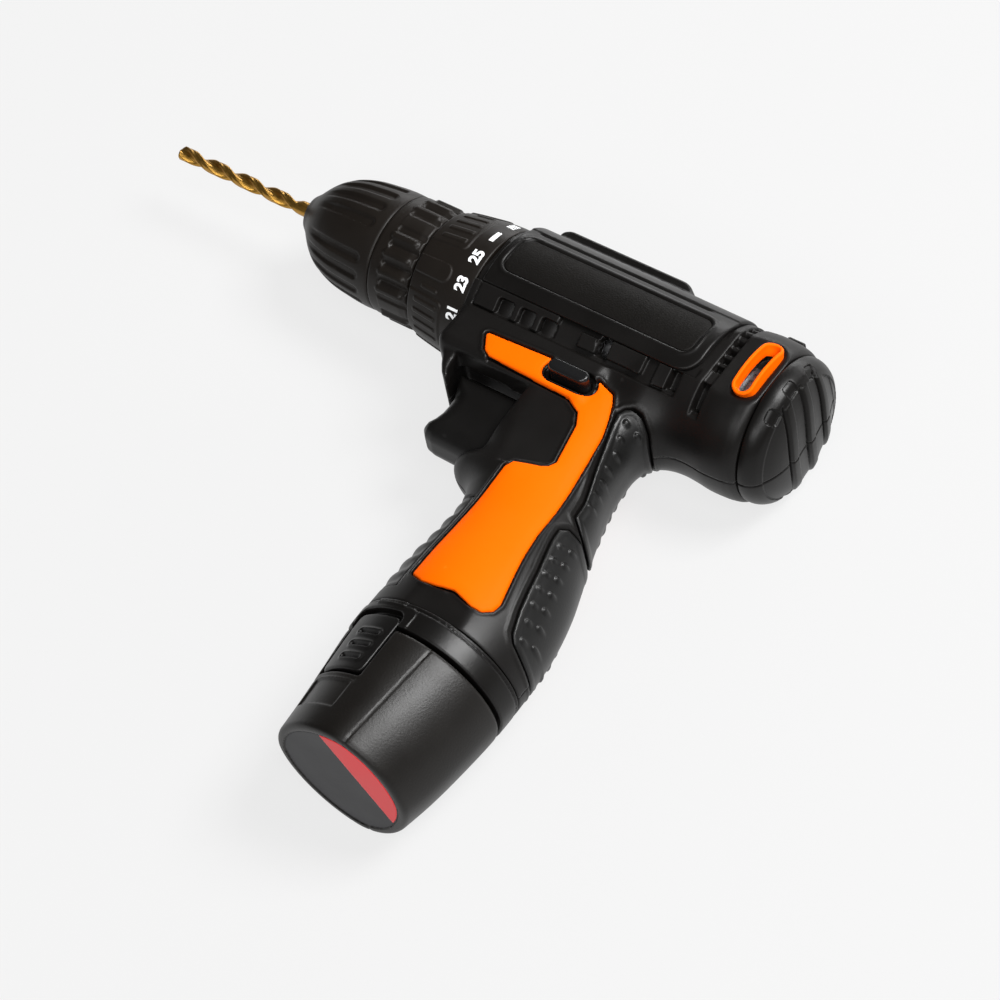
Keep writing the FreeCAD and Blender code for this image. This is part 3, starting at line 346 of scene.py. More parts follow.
def plastic(name, colour, rough, grain=900.0, depth=0.02, spec=0.22, coat=0.0, mottle=0.2):
    """Moulded plastic: spark-eroded grain, slow changes of gloss and a painted highlight that lightens convex
    edges.
    """
    material, nodes, links, shader = new_material(name)
    place = nodes.new("ShaderNodeTexCoord").outputs["Object"]
    fine = noise(nodes, links, place, grain, 2.0, 0.6)
    slow = noise(nodes, links, place, 35.0, 4.0, 0.55)
    dark = tuple(c * (1 - mottle) for c in colour)
    light = tuple(c * (1 + mottle) + 0.0004 for c in colour)
    base = ramp(nodes, links, slow, (0.3, dark), (0.72, light))
    # Painted highlight: convex edges, found from pointiness, are mixed towards a lighter colour that stands
    # in for light catching the edges.
    edge = nodes.new("ShaderNodeNewGeometry").outputs["Pointiness"]
    painted_edge_highlight = spread(nodes, links, edge, 0.52, 0.6, 0.0, 0.35)
    mix = nodes.new("ShaderNodeMix")
    mix.data_type = "RGBA"
    links.new(painted_edge_highlight, mix.inputs["Factor"])
    links.new(base, mix.inputs["A"])
    mix.inputs["B"].default_value = (*[min(1, c * 1.5 + 0.012) for c in colour], 1)
    links.new(mix.outputs["Result"], shader.inputs["Base Color"])
    links.new(spread(nodes, links, slow, 0.3, 0.7, rough - 0.05, rough + 0.06), shader.inputs["Roughness"])
    shader.inputs["Specular IOR Level"].default_value = spec
    shader.inputs["Coat Weight"].default_value = coat
    shader.inputs["Coat Roughness"].default_value = 0.25
    bump(nodes, links, shader, fine, depth * 10, 0.0001)
    return material


def metal(name, colour, rough, brushed=(1.0, 1.0, 1.0), scale=600.0):
    """Metal with machining marks, stretched across the brushed direction."""
    material, nodes, links, shader = new_material(name)
    place = nodes.new("ShaderNodeTexCoord").outputs["Object"]
    mapping = nodes.new("ShaderNodeMapping")
    mapping.inputs["Scale"].default_value = brushed
    links.new(place, mapping.inputs["Vector"])
    marks = noise(nodes, links, mapping.outputs["Vector"], scale, 4.0, 0.6)
    shader.inputs["Metallic"].default_value = 1.0
    base = ramp(nodes, links, marks, (0.25, tuple(c * 0.75 for c in colour)), (0.75, colour))
    links.new(base, shader.inputs["Base Color"])
    links.new(spread(nodes, links, marks, 0.2, 0.8, rough - 0.08, rough + 0.1), shader.inputs["Roughness"])
    bump(nodes, links, shader, marks, 0.15, 0.00005)
    return material


BLACK = plastic("housing_black", (0.0034, 0.0029, 0.0026), 0.42)
COVER_BLACK = plastic("cover_black", (0.0032, 0.0028, 0.0025), 0.36)
LABEL_BLACK = plastic("label_grain", (0.0026, 0.0021, 0.0016), 0.6, grain=1700.0, depth=0.09, spec=0.12)
GRIP_BLACK = plastic("grip_rubber", (0.0048, 0.0047, 0.0045), 0.38, grain=1300.0, depth=0.03, spec=0.3)
CHUCK_BLACK = plastic("chuck_black", (0.0062, 0.0046, 0.0034), 0.44)
GLOSS_BLACK = plastic("gloss_black", (0.005, 0.005, 0.0052), 0.2, depth=0.006, spec=0.4)
PACK_BLACK = plastic("pack_black", (0.0046, 0.0038, 0.0031), 0.42, grain=1500.0, depth=0.05, spec=0.3)
TRIGGER_BLACK = plastic("trigger_black", (0.0036, 0.0033, 0.0031), 0.36)
DARK_INSIDE = plastic("inside_black", (0.004, 0.004, 0.004), 0.6)
ORANGE = plastic("orange_gloss", (0.9, 0.112, 0.0), 0.5, depth=0.004, spec=0.03, mottle=0.03)
LABEL_GREY = plastic("label_grey", (0.014, 0.014, 0.016), 0.45, depth=0.004)
LABEL_RED = plastic("label_red", (0.62, 0.03, 0.035), 0.38, depth=0.004, mottle=0.06)
PRINT_WHITE = plastic("print_white", (0.78, 0.8, 0.82), 0.45, depth=0.004, mottle=0.03)
STEEL = metal("steel_bright", (0.62, 0.62, 0.64), 0.28)
STEEL_DARK = metal("steel_dark", (0.12, 0.12, 0.125), 0.36)
GOLD = metal("bit_gold", (0.46, 0.25, 0.05), 0.33, (0.3, 1.0, 1.0), 1500.0)
COPPER = metal("copper", (0.85, 0.38, 0.2), 0.3)
BRONZE = metal("bronze", (0.6, 0.4, 0.18), 0.4)
BRASS = metal("brass", (0.85, 0.62, 0.26), 0.25)
FERRITE = plastic("ferrite", (0.05, 0.05, 0.055), 0.6, grain=700.0, depth=0.06)
NYLON = plastic("nylon", (0.62, 0.6, 0.54), 0.42, grain=600.0, depth=0.01, mottle=0.08)
CELL_BLUE = plastic("cell_sleeve", (0.02, 0.16, 0.42), 0.25, depth=0.004, mottle=0.1)

CAD_LOOKS = {
    STEEL: ("motor_can", "rotor_core", "motor_shaft", "spindle", "clutch_balls", "clutch_washer",
            "clutch_spring", "trigger_spring"),
    STEEL_DARK: ("ring_gear_rear", "ring_gear_front", "motor_pinion", "carrier_rear", "carrier_front",
                 "chuck_body", "chuck_nut", "chuck_jaw_1", "chuck_jaw_2", "chuck_jaw_3",
                 "housing_screws", "planet_front_1", "planet_front_2", "planet_front_3"),
    NYLON: ("clutch_nut", "planet_rear_1", "planet_rear_2", "planet_rear_3"),
    COPPER: ("rotor_windings", "commutator"),
    BRONZE: ("spindle_bearings",),
    BRASS: ("battery_contacts",),
    FERRITE: ("motor_magnets", "motor_brushes"),
    CELL_BLUE: ("battery_cells",),
    DARK_INSIDE: ("motor_end_bell", "gearbox_case", "switch_body", "terminal_block"),
}
for look, names in CAD_LOOKS.items():
    for name in names:
        frame["nodes"][name].data.materials.clear()
        frame["nodes"][name].data.materials.append(look)

# -------------------- outer form
# Sections of the handle and battery: y, widest place, reach forward and back, half width, power.
SECTIONS = (
    (8, 60, 27, 27, 16.6, 2.0), (30, 57, 22.5, 24.3, 17.2, 2.5),
    (46, 53.5, 22.9, 21.9, 17.5, 2.6), (62, 49, 22.7, 22.0, 18.0, 2.25),
    (74, 44.6, 22.5, 21.9, 19.2, 2.15), (86, 42.6, 24.8, 24.1, 21.3, 2.0),
    (98, 41.6, 27.0, 25.7, 23.0, 1.95), (112, 41.0, 28.1, 26.3, 23.9, 1.9),
    (128, 40.8, 28.2, 26.3, 24.3, 1.86), (142, 40.5, 27.0, 25.0, 24.2, 1.82),
    (156, 40.2, 25.8, 22.8, 24.0, 1.8), (167, 40.0, 25.2, 20.0, 23.6, 1.8),
)
MIDDLE, FORWARD, BACK, WIDTH, POWER = (curve(*[(s[0], s[i]) for s in SECTIONS]) for i in range(1, 6))
BARREL_RADIUS = curve((3, 23.4), (4.2, 24.3), (6.5, 25.0), (10, 25.35), (15, 25.35), (18, 25.0), (22, 24.7),
                      (27, 24.5), (60, 24.6), (104, 24.6))


def handle_oval(x, y, z):
    """Distance-like field of the handle and battery, without ends."""
    middle, power = MIDDLE(y), POWER(y)
    u = (x - middle) / np.where(x > middle, FORWARD(y), BACK(y))
    v = z / WIDTH(y)
    g = (np.abs(u) ** power + np.abs(v) ** power) ** (1 / power)
    r = np.maximum(np.hypot(x - middle, z), 1e-3)
    return 0.93 * (r - r / np.maximum(g, 1e-5))


# Side outlines of the guard in front of the trigger and of the gap that the trigger moves in.
GUARD = [(103.9, 22), (103.9, 28.5), (102.6, 31.4), (100.2, 34.8), (98.4, 37.8), (96.6, 40.2), (94.2, 42.1),
         (94.0, 40.6), (95.2, 38.2), (95.8, 35.4), (95.9, 22)]
TRIGGER_GAP = [(69.5, 33.3), (95.6, 33.3), (95.4, 35.6), (94.9, 38.2), (93.6, 40.6), (93.6, 60), (69.5, 60)]
CHIN_X, CHIN_Y = 77.0, 16.5
CHIN_SIDE, CHIN_BOTTOM = 18.3, 33.0
LEDGE_X, LEDGE_Y = 64.5, 60.4
LEDGE_HALF = (14.3, 6.2, 13.5)


def outer_form(x, y, z):
    """Barrel, trigger block, guard and handle, before any detail."""
    r = np.hypot(y, z)
    barrel = np.maximum(r - BARREL_RADIUS(x), slab(x, BARREL_START, 103.95))
    handle = np.maximum(handle_oval(x, y, z), 6 - y)
    fillet = 2.0 + 11 * step_up(-x, -50, -36)
    form = smooth_min(barrel, handle, fillet)
    chin = block3(x, y, z, (CHIN_X, CHIN_Y, 0), (27.0, CHIN_BOTTOM - CHIN_Y, CHIN_SIDE), 3.2)
    form = smooth_min(form, chin, 1.2)
    guard = round_plate(outline(x, y, GUARD), z, 14.4, 1.4)
    form = smooth_min(form, guard, 2.5)
    across = [(p - c) / h for p, c, h in zip((x, y, z), (LEDGE_X, LEDGE_Y, 0), LEDGE_HALF)]
    ledge = (np.sqrt(across[0] ** 2 + across[1] ** 2 + across[2] ** 2) - 1) * LEDGE_HALF[1]
    return smooth_min(form, ledge, 3.0)


# -------------------- trims in the sides
INLAY = [(46, 24), (50.4, 22.8), (50.8, 26.5), (53.3, 28.9), (63, 28.9), (67, 27), (68.2, 23.3),
         (89.6, 24.4), (86.9, 28.8), (84.9, 29.9), (55, 31), (49.4, 34), (46.8, 38.6), (43.8, 53.4),
         (45.0, 56.0), (47.2, 57.6), (55.3, 60.0), (56.4, 62), (55.7, 107.6), (51.4, 109.2), (46.1, 109.0),
         (40.3, 108.0), (33.6, 109.6), (30.9, 109.3), (29.2, 107.4), (28.8, 104.6), (30.4, 98.0),
         (32.8, 88.5), (34.8, 78), (35.8, 68), (37.3, 58), (38.8, 48.5), (40.6, 37.4), (42.6, 31),
         (44.6, 26.2)]
FLAT = [(84, 31.6), (56, 32.6), (51, 35.2), (48.4, 39.4), (45.6, 53.2), (47.2, 56.4), (56, 58.9), (80, 62),
        (84, 50)]
UPPER_GRIP = [(37.0, 24.9), (39.0, 26.1), (40.0, 28.2), (39.2, 32), (37.1, 39), (35.2, 46), (33.3, 52),
              (31.4, 58), (30.4, 64), (29, 65), (17.7, 74), (0, 74), (0, 34.5), (27, 34), (28.6, 31.5),
              (31.8, 27), (35.0, 24.9)]
LOWER_GRIP = [(26, 69.6), (29.2, 70.0), (30.4, 72), (29.6, 76.5), (26.4, 87.6), (22.9, 102.0), (20.9, 108.4),
              (19.6, 110.0), (16.6, 111.4), (12, 113.2), (0, 114), (0, 86), (14, 80)]
FRONT_GRIP = [(59.5, 74), (80, 71.5), (80, 113), (58.5, 113)]
BUTTON = ((54.25, 25.5), (63.75, 25.5))
BUTTON_RADIUS = 2.3
UPPER_DOTS = [(36.9, 28.8), (35.9, 33.7), (33.0, 29.3), (34.2, 38.3), (33.6, 43.8), (32.3, 48.4),
              (31.2, 53.0), (30.0, 57.6)]
LOWER_DOTS = [(27.6 - 1.5 * i + 0.04 * i * (6 - i) - 2.5 * j, 76.0 + 5.3 * i - 1.6 * j)
              for i in range(7) for j in range(2)]


def trims(x, y, z):
    """Distances from the inlay, the two rear grips and the front grip, seen from the side."""
    button = stroke(x, y, *BUTTON, BUTTON_RADIUS)
    return (smooth_max(outline(x, y, INLAY, 0.9), 2.1 - button, 1.0), outline(x, y, UPPER_GRIP, 0.8),
            outline(x, y, LOWER_GRIP, 0.8), outline(x, y, FRONT_GRIP))


# -------------------- strip under the cover
STRIP_RADIUS = 24.5     # radius at which arcs on the strip are measured
STRIP_DEPTH = 1.2
PLATES = ((86.5, 14.6, -42.3, -25), (60.2, 3.4, -39.5, -28.5), (46.8, 6.3, -39, -25),
          (34.1, 2.4, -41.5, -25))      # middle, half length, angles of the two edges
POCKETS = ((90.4, 2.7), (82.4, 2.6), (74.6, 2.6))       # middle, half length
GAPS = ((55.3, 1.8, 3.0), (30.0, 1.5, 2.0))             # middle, half length, depth


def strip_arc(angle):
    return math.radians(angle) * STRIP_RADIUS


def strip_relief(x, y, z):
    """Height of the stepped band between the cover and the trigger block."""
    arc = np.radians(flank(y, z)) * STRIP_RADIUS
    band = block2(x, arc, (64.7, strip_arc(-34.3)), (36.6, strip_arc(9.3)), 0.6)
    height = -STRIP_DEPTH * step_up(-band, -0.1, 0.2)
    for middle, half, low, high in PLATES:
        centre = (middle, strip_arc((low + high) / 2))
        plate = block2(x, arc, centre, (half, strip_arc((high - low) / 2)), 0.5)
        height = np.maximum(height, -STRIP_DEPTH + 1.4 * step_up(-plate, -0.05, 0.2))
    for middle, half in POCKETS:
        pocket = block2(x, arc, (middle, strip_arc(-36.6)), (half, 2.5), 0.9)
        barrel = 0.5 * np.clip(1 - ((x - middle) / half) ** 2, 0, 1)
        floor_height = 0.2 - (2.0 - barrel) * step_up(-pocket, -0.3, 0.0)
        height = np.where(pocket < 0.35, np.minimum(height, floor_height), height)
    for middle, half, depth in GAPS:
        gap = block2(x, arc, (middle, strip_arc(-32.5)), (half, 3.4), 0.3)
        height = height - depth * step_up(-gap, -0.1, 0.3)
    return height * (x > 27)


GRILLE_X, GRILLE_HALF, GRILLE_RADIUS = 19.9, 1.6, 24.8


def grille_relief(x, y, z):
    """Slotted band round the barrel in front of the vent."""
    a = flank(y, z)
    arc = np.radians(a) * GRILLE_RADIUS
    band = np.maximum(np.abs(x - GRILLE_X) - GRILLE_HALF, (-50 - a) * 0.43)
    height = -0.7 * step_up(-band, -0.1, 0.25)
    slots = [(-35.5, 11.0)] + [(-10 + 9.6 * i, 3.1) for i in range(11)]
    for middle, half in slots:
        centre = (GRILLE_X, math.radians(middle) * GRILLE_RADIUS)
        slot = block2(x, arc, centre, (1.5, math.radians(half) * GRILLE_RADIUS), 0.15)
        height = height - 2.6 * step_up(-slot, -0.1, 0.15)
    return height


VENT_RADIUS = 25.3
VENT_X, VENT_MIDDLE, VENT_HALF = 9.3, math.radians(2.6) * VENT_RADIUS, 11.4
VENT_RIM = 3.55


def vent_line(x, y, z):
    """Distance from the centre line of the oval vent, measured on the barrel."""
    arc = np.radians(flank(y, z)) * VENT_RADIUS
    reach = VENT_HALF - VENT_RIM
    return stroke(x, arc, (VENT_X, VENT_MIDDLE - reach), (VENT_X, VENT_MIDDLE + reach), 0.0)


# Axes of the three cells, as (x, z).
CELL_SPOTS = ((37.0, 9.05), (37.0, -9.05), (52.67, 0.0))


def tower(x, z, radius):
    """Rounded triangle round the three cells."""
    return outline(x, z, [CELL_SPOTS[0], CELL_SPOTS[2], CELL_SPOTS[1]]) - radius


# Screw centres, as (x, y).
SCREWS = ((96.5, 26.3), (44.2, 27.0), (36.6, 55.0), (61.5, 70.5), (28.8, 79.5), (59.5, 84.5))


def arch(x, y, z, grow):
    """Arched notch over each battery latch."""
    return np.maximum(block2(x, y, (56, 134.4), (9.2 + grow, 12.0 + grow), 3.2), 6 - np.abs(z))


GEAR_ROOM = 20.3        # radius of the hollow round the motor and gears
GEAR_ROOM_START, GEAR_ROOM_END = 24, 101.5


def housing_field(x, y, z):
    """Both shells in one: the outer form less its seats, vents, trigger well and gear room."""
    form = outer_form(x, y, z)
    side = np.abs(z)
    inlay, upper, lower, front = trims(x, y, z)
    high = step_up(side, 4, 8)
    flat = outline(x, y, FLAT, 0.6)
    form = smooth_max(form, side - 16.3 - 6 * step_up(flat, 0.2, 2.4), 0.5)
    relief = 0.3 * ridge(inlay, 1.0, 0.42) * high * step_up(x, 20, 28)
    relief = relief - 1.5 * step_up(-inlay, -0.5, -0.2) * high
    for grip in (upper, lower, front):
        relief = relief - 1.3 * step_up(-grip, -0.3, 0.0)
    relief = relief + 0.25 * ridge(np.minimum(upper, lower), 1.1, 0.5)
    on_barrel = step_up(-y, -21.5, -19) * step_up(np.abs(z), 2, 4)
    relief = relief + strip_relief(x, y, z) * on_barrel + grille_relief(x, y, z)
    vent = vent_line(x, y, z)
    relief = relief - 0.5 * step_up(-vent, -VENT_RIM - 0.9, -VENT_RIM - 0.5)
    relief = relief - 4.5 * step_up(-vent, -VENT_RIM - 0.05, -VENT_RIM + 0.15)
    form = form - relief
    seat = np.maximum(23.2 - np.hypot(y, z), np.maximum(24.0 - x, y - 10.2))
    form = np.maximum(form, -seat)
    block = block3(x, y, z, (15.6, -24.0, 0), (4.6, 4.2, 5.2), 0.9)
    form = smooth_min(form, np.maximum(block, x - 18.3 - 0.35 * (y + 24)), 0.5)
    well = block3(x, y, z, (78.4, 44.65, 0), (17.4, 14.4, 9.2), 1.0)
    open_side = block3(x, y, z, (91, 45.4, 0), (22.0, 12.1, 40.0), 1.0)
    cavity = np.minimum(well, np.maximum(open_side, outline(x, y, TRIGGER_GAP)))
    form = smooth_max(form, -cavity, 0.9)
    button = stroke(x, y, *BUTTON, BUTTON_RADIUS + 0.25)
    form = np.maximum(form, -button)
    sunk = np.maximum(button - 1.3, 15.9 - side)
    form = smooth_max(form, -sunk, 0.4)
    form = np.maximum(form, -np.maximum(tower(x, z, 10.3), 92 - y))
    form = np.maximum(form, -np.maximum(np.hypot(y, z) - GEAR_ROOM, slab(x, GEAR_ROOM_START, GEAR_ROOM_END)))
    for spot_x, spot_y in SCREWS:
        form = np.maximum(form, -np.maximum(np.hypot(x - spot_x, y - spot_y) - 3.1, z + 10))
    form = smooth_max(form, y - (COLLAR_TOP - 0.15) + 2.6 * step_up(-arch(x, y, z, 3.2), -0.4, 0.4), 0.5)
    return form


SIDES = (("left", 1), ("right", -1))


def side_box(sign, low, high):
    """Corners of a box on the left, or of its mirror image for sign -1."""
    return (low, high) if sign > 0 else ((*low[:2], -high[2]), (*high[:2], -low[2]))


def shell_half(sign):
    return lambda x, y, z: smooth_max(housing_field(x, y, z), 0.05 - sign * z, 0.25)


for side_name, sign in SIDES:
    sculpt(f"{side_name}_shell", shell_half(sign), *side_box(sign, (1.0, -30.5, -0.5), (106.0, 120.5, 27.0)),
           0.5, "housing", "black_housing", BLACK, f"housing_{side_name}")


# -------------------- inlays and grips
def inlay_field(x, y, z):
    form = outer_form(x, y, z)
    side = np.abs(z)
    inlay = trims(x, y, z)[0]
    crown = form + 0.12 - 0.22 * step_up(-inlay, 0, 3)
    plate = smooth_max(crown, inlay + 0.05, 0.7)
    return np.maximum(np.maximum(plate, -1.35 - form), 4 - side)


def inlay_half(sign):
    """Inlay of one side; the right one has holes for the screws."""
    def field(x, y, z):
        form = np.maximum(inlay_field(x, y, z), 3 - sign * z)
        for spot_x, spot_y in SCREWS if sign < 0 else ():
            form = np.maximum(form, 3.2 - np.hypot(x - spot_x, y - spot_y))
        return form
    return field


for side_name, sign in SIDES:
    sculpt(f"inlay_panel_{side_name}", inlay_half(sign), *side_box(sign, (27, 21, 8), (91, 111, 26)), 0.45,
           "housing", "orange_trim", ORANGE, f"inlay_{side_name}")


def dotted(x, y, z, dots):
    height = np.zeros(x.shape)
    for spot_x, spot_y in dots:
        height = height + 0.5 * np.exp(-(np.hypot(x - spot_x, y - spot_y) / 0.85) ** 4)
    return height


def grip_field(index, dots, bevel):
    """Soft grip: crowned pad with a raised bevel along its border and rows of round dots."""
    def field(x, y, z):
        form = outer_form(x, y, z)
        edge = trims(x, y, z)[index]
        top = form + 0.12 - bevel * (step_up(-edge, 0.1, 0.9) - 0.55 * step_up(-edge, 1.5, 2.3))
        top = top - dotted(x, y, z, dots)
        pad = smooth_max(top, edge + 0.15, 0.5)
        pad = np.maximum(pad, -1.3 - form)
        for spot_x, spot_y in SCREWS:
            pad = np.maximum(pad, -np.maximum(np.hypot(x - spot_x, y - spot_y) - 3.1, z + 8))
        return pad
    return field


def front_grip_field(x, y, z):
    """Front of the handle, with shallow finger ridges."""
    form = outer_form(x, y, z)
    edge = trims(x, y, z)[3]
    waves = 0.3 * np.cos((y - 77) * 2 * math.pi / 6.2) * step_up(-edge, 0.8, 3)
    pad = smooth_max(form + 0.3 - 0.2 * step_up(-edge, 0, 1.2) - waves, edge + 0.15, 0.5)
    return np.maximum(pad, -1.3 - form)


sculpt("upper_rear_grip", grip_field(1, UPPER_DOTS, 0.5), (6, 25, -22), (41, 76, 22), 0.42, "housing",
       "soft_grip", GRIP_BLACK, "rear_grip_upper")
sculpt("lower_rear_grip", grip_field(2, LOWER_DOTS, 0.3), (6, 68, -27), (33, 119, 27), 0.42, "housing",
       "soft_grip", GRIP_BLACK, "rear_grip_lower")
sculpt("front_finger_grip", front_grip_field, (56, 70, -25), (74, 115, 25), 0.45, "housing", "soft_grip",
       GRIP_BLACK, "front_grip")


# -------------------- saddle cover
COVER_ARC = 25.2        # radius at which arcs on the cover are measured
COVER_RADIUS = curve((22, 24.95), (30, 25.0), (60, 25.2), (104, 25.25))
PANEL = ((64.0, math.radians(90 - 6.2) * COVER_ARC), (34.4, math.radians(18.3) * COVER_ARC), 3.6)
SERRATION_START, SERRATION_PITCH = 53.5, 7.4


def cover_place(x, y, z):
    """Arc from the top of the barrel, the same on both sides."""
    return np.radians(90 - flank(y, z)) * COVER_ARC


def cover_field(x, y, z):
    """Saddle with two sunk panels, and the block on top that holds the selector."""
    r = np.hypot(y, z)
    arc = cover_place(x, y, z)
    edge = math.radians(90 + 25) * COVER_ARC
    reach = block2(x, arc, (63.0, 0.0), (38.2, edge), 7.0)
    reach = np.where(x > 80, np.maximum(x - 101.3, arc - edge), reach)
    panel = block2(x, arc, *PANEL)
    relief = -0.75 * step_up(-panel, -0.15, 0.3)
    relief = relief + 0.28 * ridge(panel, 0.9, 0.55)
    seam = math.radians(90 - 35) * COVER_ARC
    relief = relief - 0.45 * ridge(arc, seam, 0.4) * step_up(x, 33, 36) * step_up(-x, -99, -96)
    relief = relief + 0.45 * step_up(-arc, -seam + 0.5, -seam + 1.4)
    skin = smooth_max(r - COVER_RADIUS(x) - relief, reach, 0.9)
    block = block3(x, y, z, (73.2, -20, 0), (26.2, 8.6, 8.7), 1.1)
    ramp_back = (-(x - 52.8) * 0.62 - (y + 28.4) * 0.78)
    ramp_front = ((x - 97.2) * 0.62 - (y + 28.4) * 0.78)
    block = smooth_max(smooth_max(block, ramp_back, 1.6), ramp_front, 1.0)
    along = x - SERRATION_START
    notches = block3(fold(along, SERRATION_PITCH), y, np.abs(z), (0, -23.2, 9.0), (0.9, 1.4, 1.1), 0.4)
    foot = np.abs(z) - 10.2 + 0.9 * np.cos(along * 2 * math.pi / SERRATION_PITCH)
    foot = smooth_max(smooth_max(foot, r - 26.3, 0.8), slab(x, 49, 99), 1.5)
    form = smooth_min(skin, smooth_min(block, foot, 0.8), 0.7)
    form = np.maximum(form, -notches)
    form = np.maximum(form, 23.35 - r)
    form = smooth_max(form, -block3(x, y, z, (84.25, -29, 0), (10.75, 3.6, 5.35), 0.6), 0.4)
    pin = block3(x, y, z, (90.3, -26, 0), (4.5, 6, 1.5), 0.2)
    return np.maximum(form, -pin)


sculpt("saddle_cover", cover_field, (23.5, -30.5, -27), (103.5, 12.5, 27), 0.42, "housing", "black_cover",
       COVER_BLACK, "top_cover")


def panels_field(x, y, z):
    r = np.hypot(y, z)
    panel = block2(x, cover_place(x, y, z), *PANEL)
    face = smooth_max(r - COVER_RADIUS(x) + 0.42, panel + 0.25, 0.4)
    return np.maximum(np.maximum(face, COVER_RADIUS(x) - 1.2 - r), 6 - np.abs(z))


sculpt("label_skins", panels_field, (28, -16, -26), (100, 8, 26), 0.35, "housing", "label_black",
       LABEL_BLACK, "label_panels")


SELECTOR_X, SELECTOR_PITCH = 81, 2.2


def selector_field(x, y, z):
    """Grooved slider with the pin that reaches down to the ring gear."""
    slider = block3(x, y, z, (SELECTOR_X, -27.2, 0), (7, 1.9, 5), 0.6)
    grooves = np.abs(fold(x - SELECTOR_X, SELECTOR_PITCH)) - 0.42
    cut = np.maximum(np.maximum(grooves, y + 28.45), np.abs(x - SELECTOR_X) - 5.4)
    slider = smooth_max(slider, -cut, 0.2)
    pin = np.maximum(np.hypot(x - 87.3, z) - 1.2, slab(y, -26, -18.4))
    return np.minimum(slider, pin)


sculpt("speed_slider", selector_field, (73, -30, -6), (89.5, -17.5, 6), 0.3, "speed_selector",
       "button_black", GLOSS_BLACK, "speed_selector")


# -------------------- rear cap and vents
CAP_FACE = curve((0, -8.0), (6, -7.85), (10, -7.45), (14, -6.7), (18, -5.2), (20.5, -3.7), (22.3, -1.95),
                 (23.4, 0.2), (24.2, 3.0), (40, 20))
CAP_GROOVES = (9.3, 0.5, -8.5)
NOTCHES = (9.6, -0.2, -10.2)
NOTCH_RADIUS = 21.1


def cap_field(x, y, z):
    """Domed cap with bowed ledges across its face and small notches round its rim."""
    r = np.hypot(y, z)
    dome = (CAP_FACE(r) - x) * 0.92
    form = smooth_max(dome, r - 23.5, 1.0)
    face = step_up(-r, -20.1, -19.7)
    relief = -0.35 * face
    for middle in CAP_GROOVES:
        bowed = y - middle + 0.009 * z * z
        relief = relief - 1.1 * ridge(bowed, 0, 0.45) * step_up(-r, -21.2, -20.4)
        relief = relief + 0.55 * step_up(-bowed, -0.2, 0.3) * step_up(bowed, -7.5, -1.5) * face
        relief = relief - 0.25 * step_up(-bowed, 3.3, 3.5) * step_up(bowed, -8.6, -8.2) * face
    relief = relief - 0.5 * ridge(z, 0, 0.25)
    for middle in NOTCHES:
        toward = math.asin(middle / NOTCH_RADIUS)
        along = NOTCH_RADIUS * (np.arctan2(y, np.abs(z)) - toward)
        notch = block2(along, r, (0, NOTCH_RADIUS), (2.3, 1.6), 1.0)
        relief = relief - 0.8 * step_up(-notch, -0.15, 0.15)
    form = form - relief
    form = smooth_max(form, x - 2.75, 0.4)
    return np.maximum(form, -np.maximum(0.4 - x, r - 21.3))


sculpt("rear_dome", cap_field, (-10, -25, -25), (4.0, 25, 25), 0.33, "housing", "black_cover", COVER_BLACK,
       "rear_cap")


def vent_field(x, y, z):
    r = np.hypot(y, z)
    line = vent_line(x, y, z)
    ring = np.abs(line - (VENT_RIM - 0.62)) - 0.6
    ring = ring - 0.3 * step_up(-r, -24.9, -22.5)
    form = smooth_max(ring, r - 25.75, 0.7)
    return np.maximum(np.maximum(form, 21.6 - r), 8 - np.abs(z))


sculpt("vent_bezels", vent_field, (4.5, -13.5, -27), (14.5, 12, 27), 0.3, "housing", "orange_trim", ORANGE,
       "vent_rings")


# -------------------- collar of the handle
def collar_field(x, y, z):
    """Collar at the foot of the handle, arched over the latches."""
    oval = handle_oval(x, y, z)
    oval = oval - 0.35 * step_up(-arch(x, y, z, 2.8), -0.3, 0.3)
    bar = np.maximum(block2(x, y, (54.5, 119.2), (5.4, 1.7), 0.6), 6 - np.abs(z))
    oval = oval - 0.45 * step_up(-bar, -0.2, 0.3)
    oval = oval + 0.45 * ridge(y, COLLAR_TOP + 1.2, 0.35)
    notch = arch(x, y, z, 0.0)
    form = smooth_max(oval, slab(y, COLLAR_TOP + 0.1 - 2.6 * step_up(-arch(x, y, z, 3.0), -0.4, 0.4),
                                 PACK_TOP - 0.7), 0.6)
    form = smooth_max(form, -np.maximum(notch, -2.2 - handle_oval(x, y, z)), 0.4)
    return np.maximum(form, -tower(x, z, 10.3))


sculpt("grip_collar", collar_field, (12, 115, -27), (71, 129, 27), 0.45, "housing", "black_cover",
       COVER_BLACK, "handle_collar")


# -------------------- battery
def pack_outside(x, y, z):
    """Battery shell with its foot rounded over, before the latches are let in."""
    return smooth_max(handle_oval(x, y, z), slab(y, PACK_TOP + 0.25, PACK_BOTTOM), 1.6)


def pack_field(x, y, z):
    """Battery shell with latch pockets and the stem that goes up into the handle."""
    form = pack_outside(x, y, z)
    side = np.abs(z)
    seam = stroke(x, y, (33.8, 129), (36.8, 168), 0.0)
    form = form + 0.22 * ridge(seam, 0, 0.3) * step_up(side, 5, 9)
    latch = np.maximum(block2(x, y, (55.3, 136.6), (9.0, 9.8), 1.0), 6 - side)
    form = smooth_max(form, -np.maximum(latch, -5.8 - handle_oval(x, y, z)), 0.4)
    lower = np.maximum(block2(x, y, (54.6, 153.4), (7.4, 4.7), 0.8), 6 - side)
    form = form + 0.55 * step_up(-lower, -0.2, 0.4)
    form = form + 0.3 * ridge(y, 147.7, 0.4) * step_up(x, 46, 47) * step_up(side, 5, 9)
    plate = np.maximum(handle_oval(x, y, z) + 2.4, PACK_BOTTOM - 0.5 - y)
    form = np.maximum(form, -plate)
    stem = np.maximum(tower(x, z, 9.85), slab(y, 95.1, 131))
    form = smooth_min(form, smooth_max(stem, 95.1 - y, 1.0), 0.3)
    return form


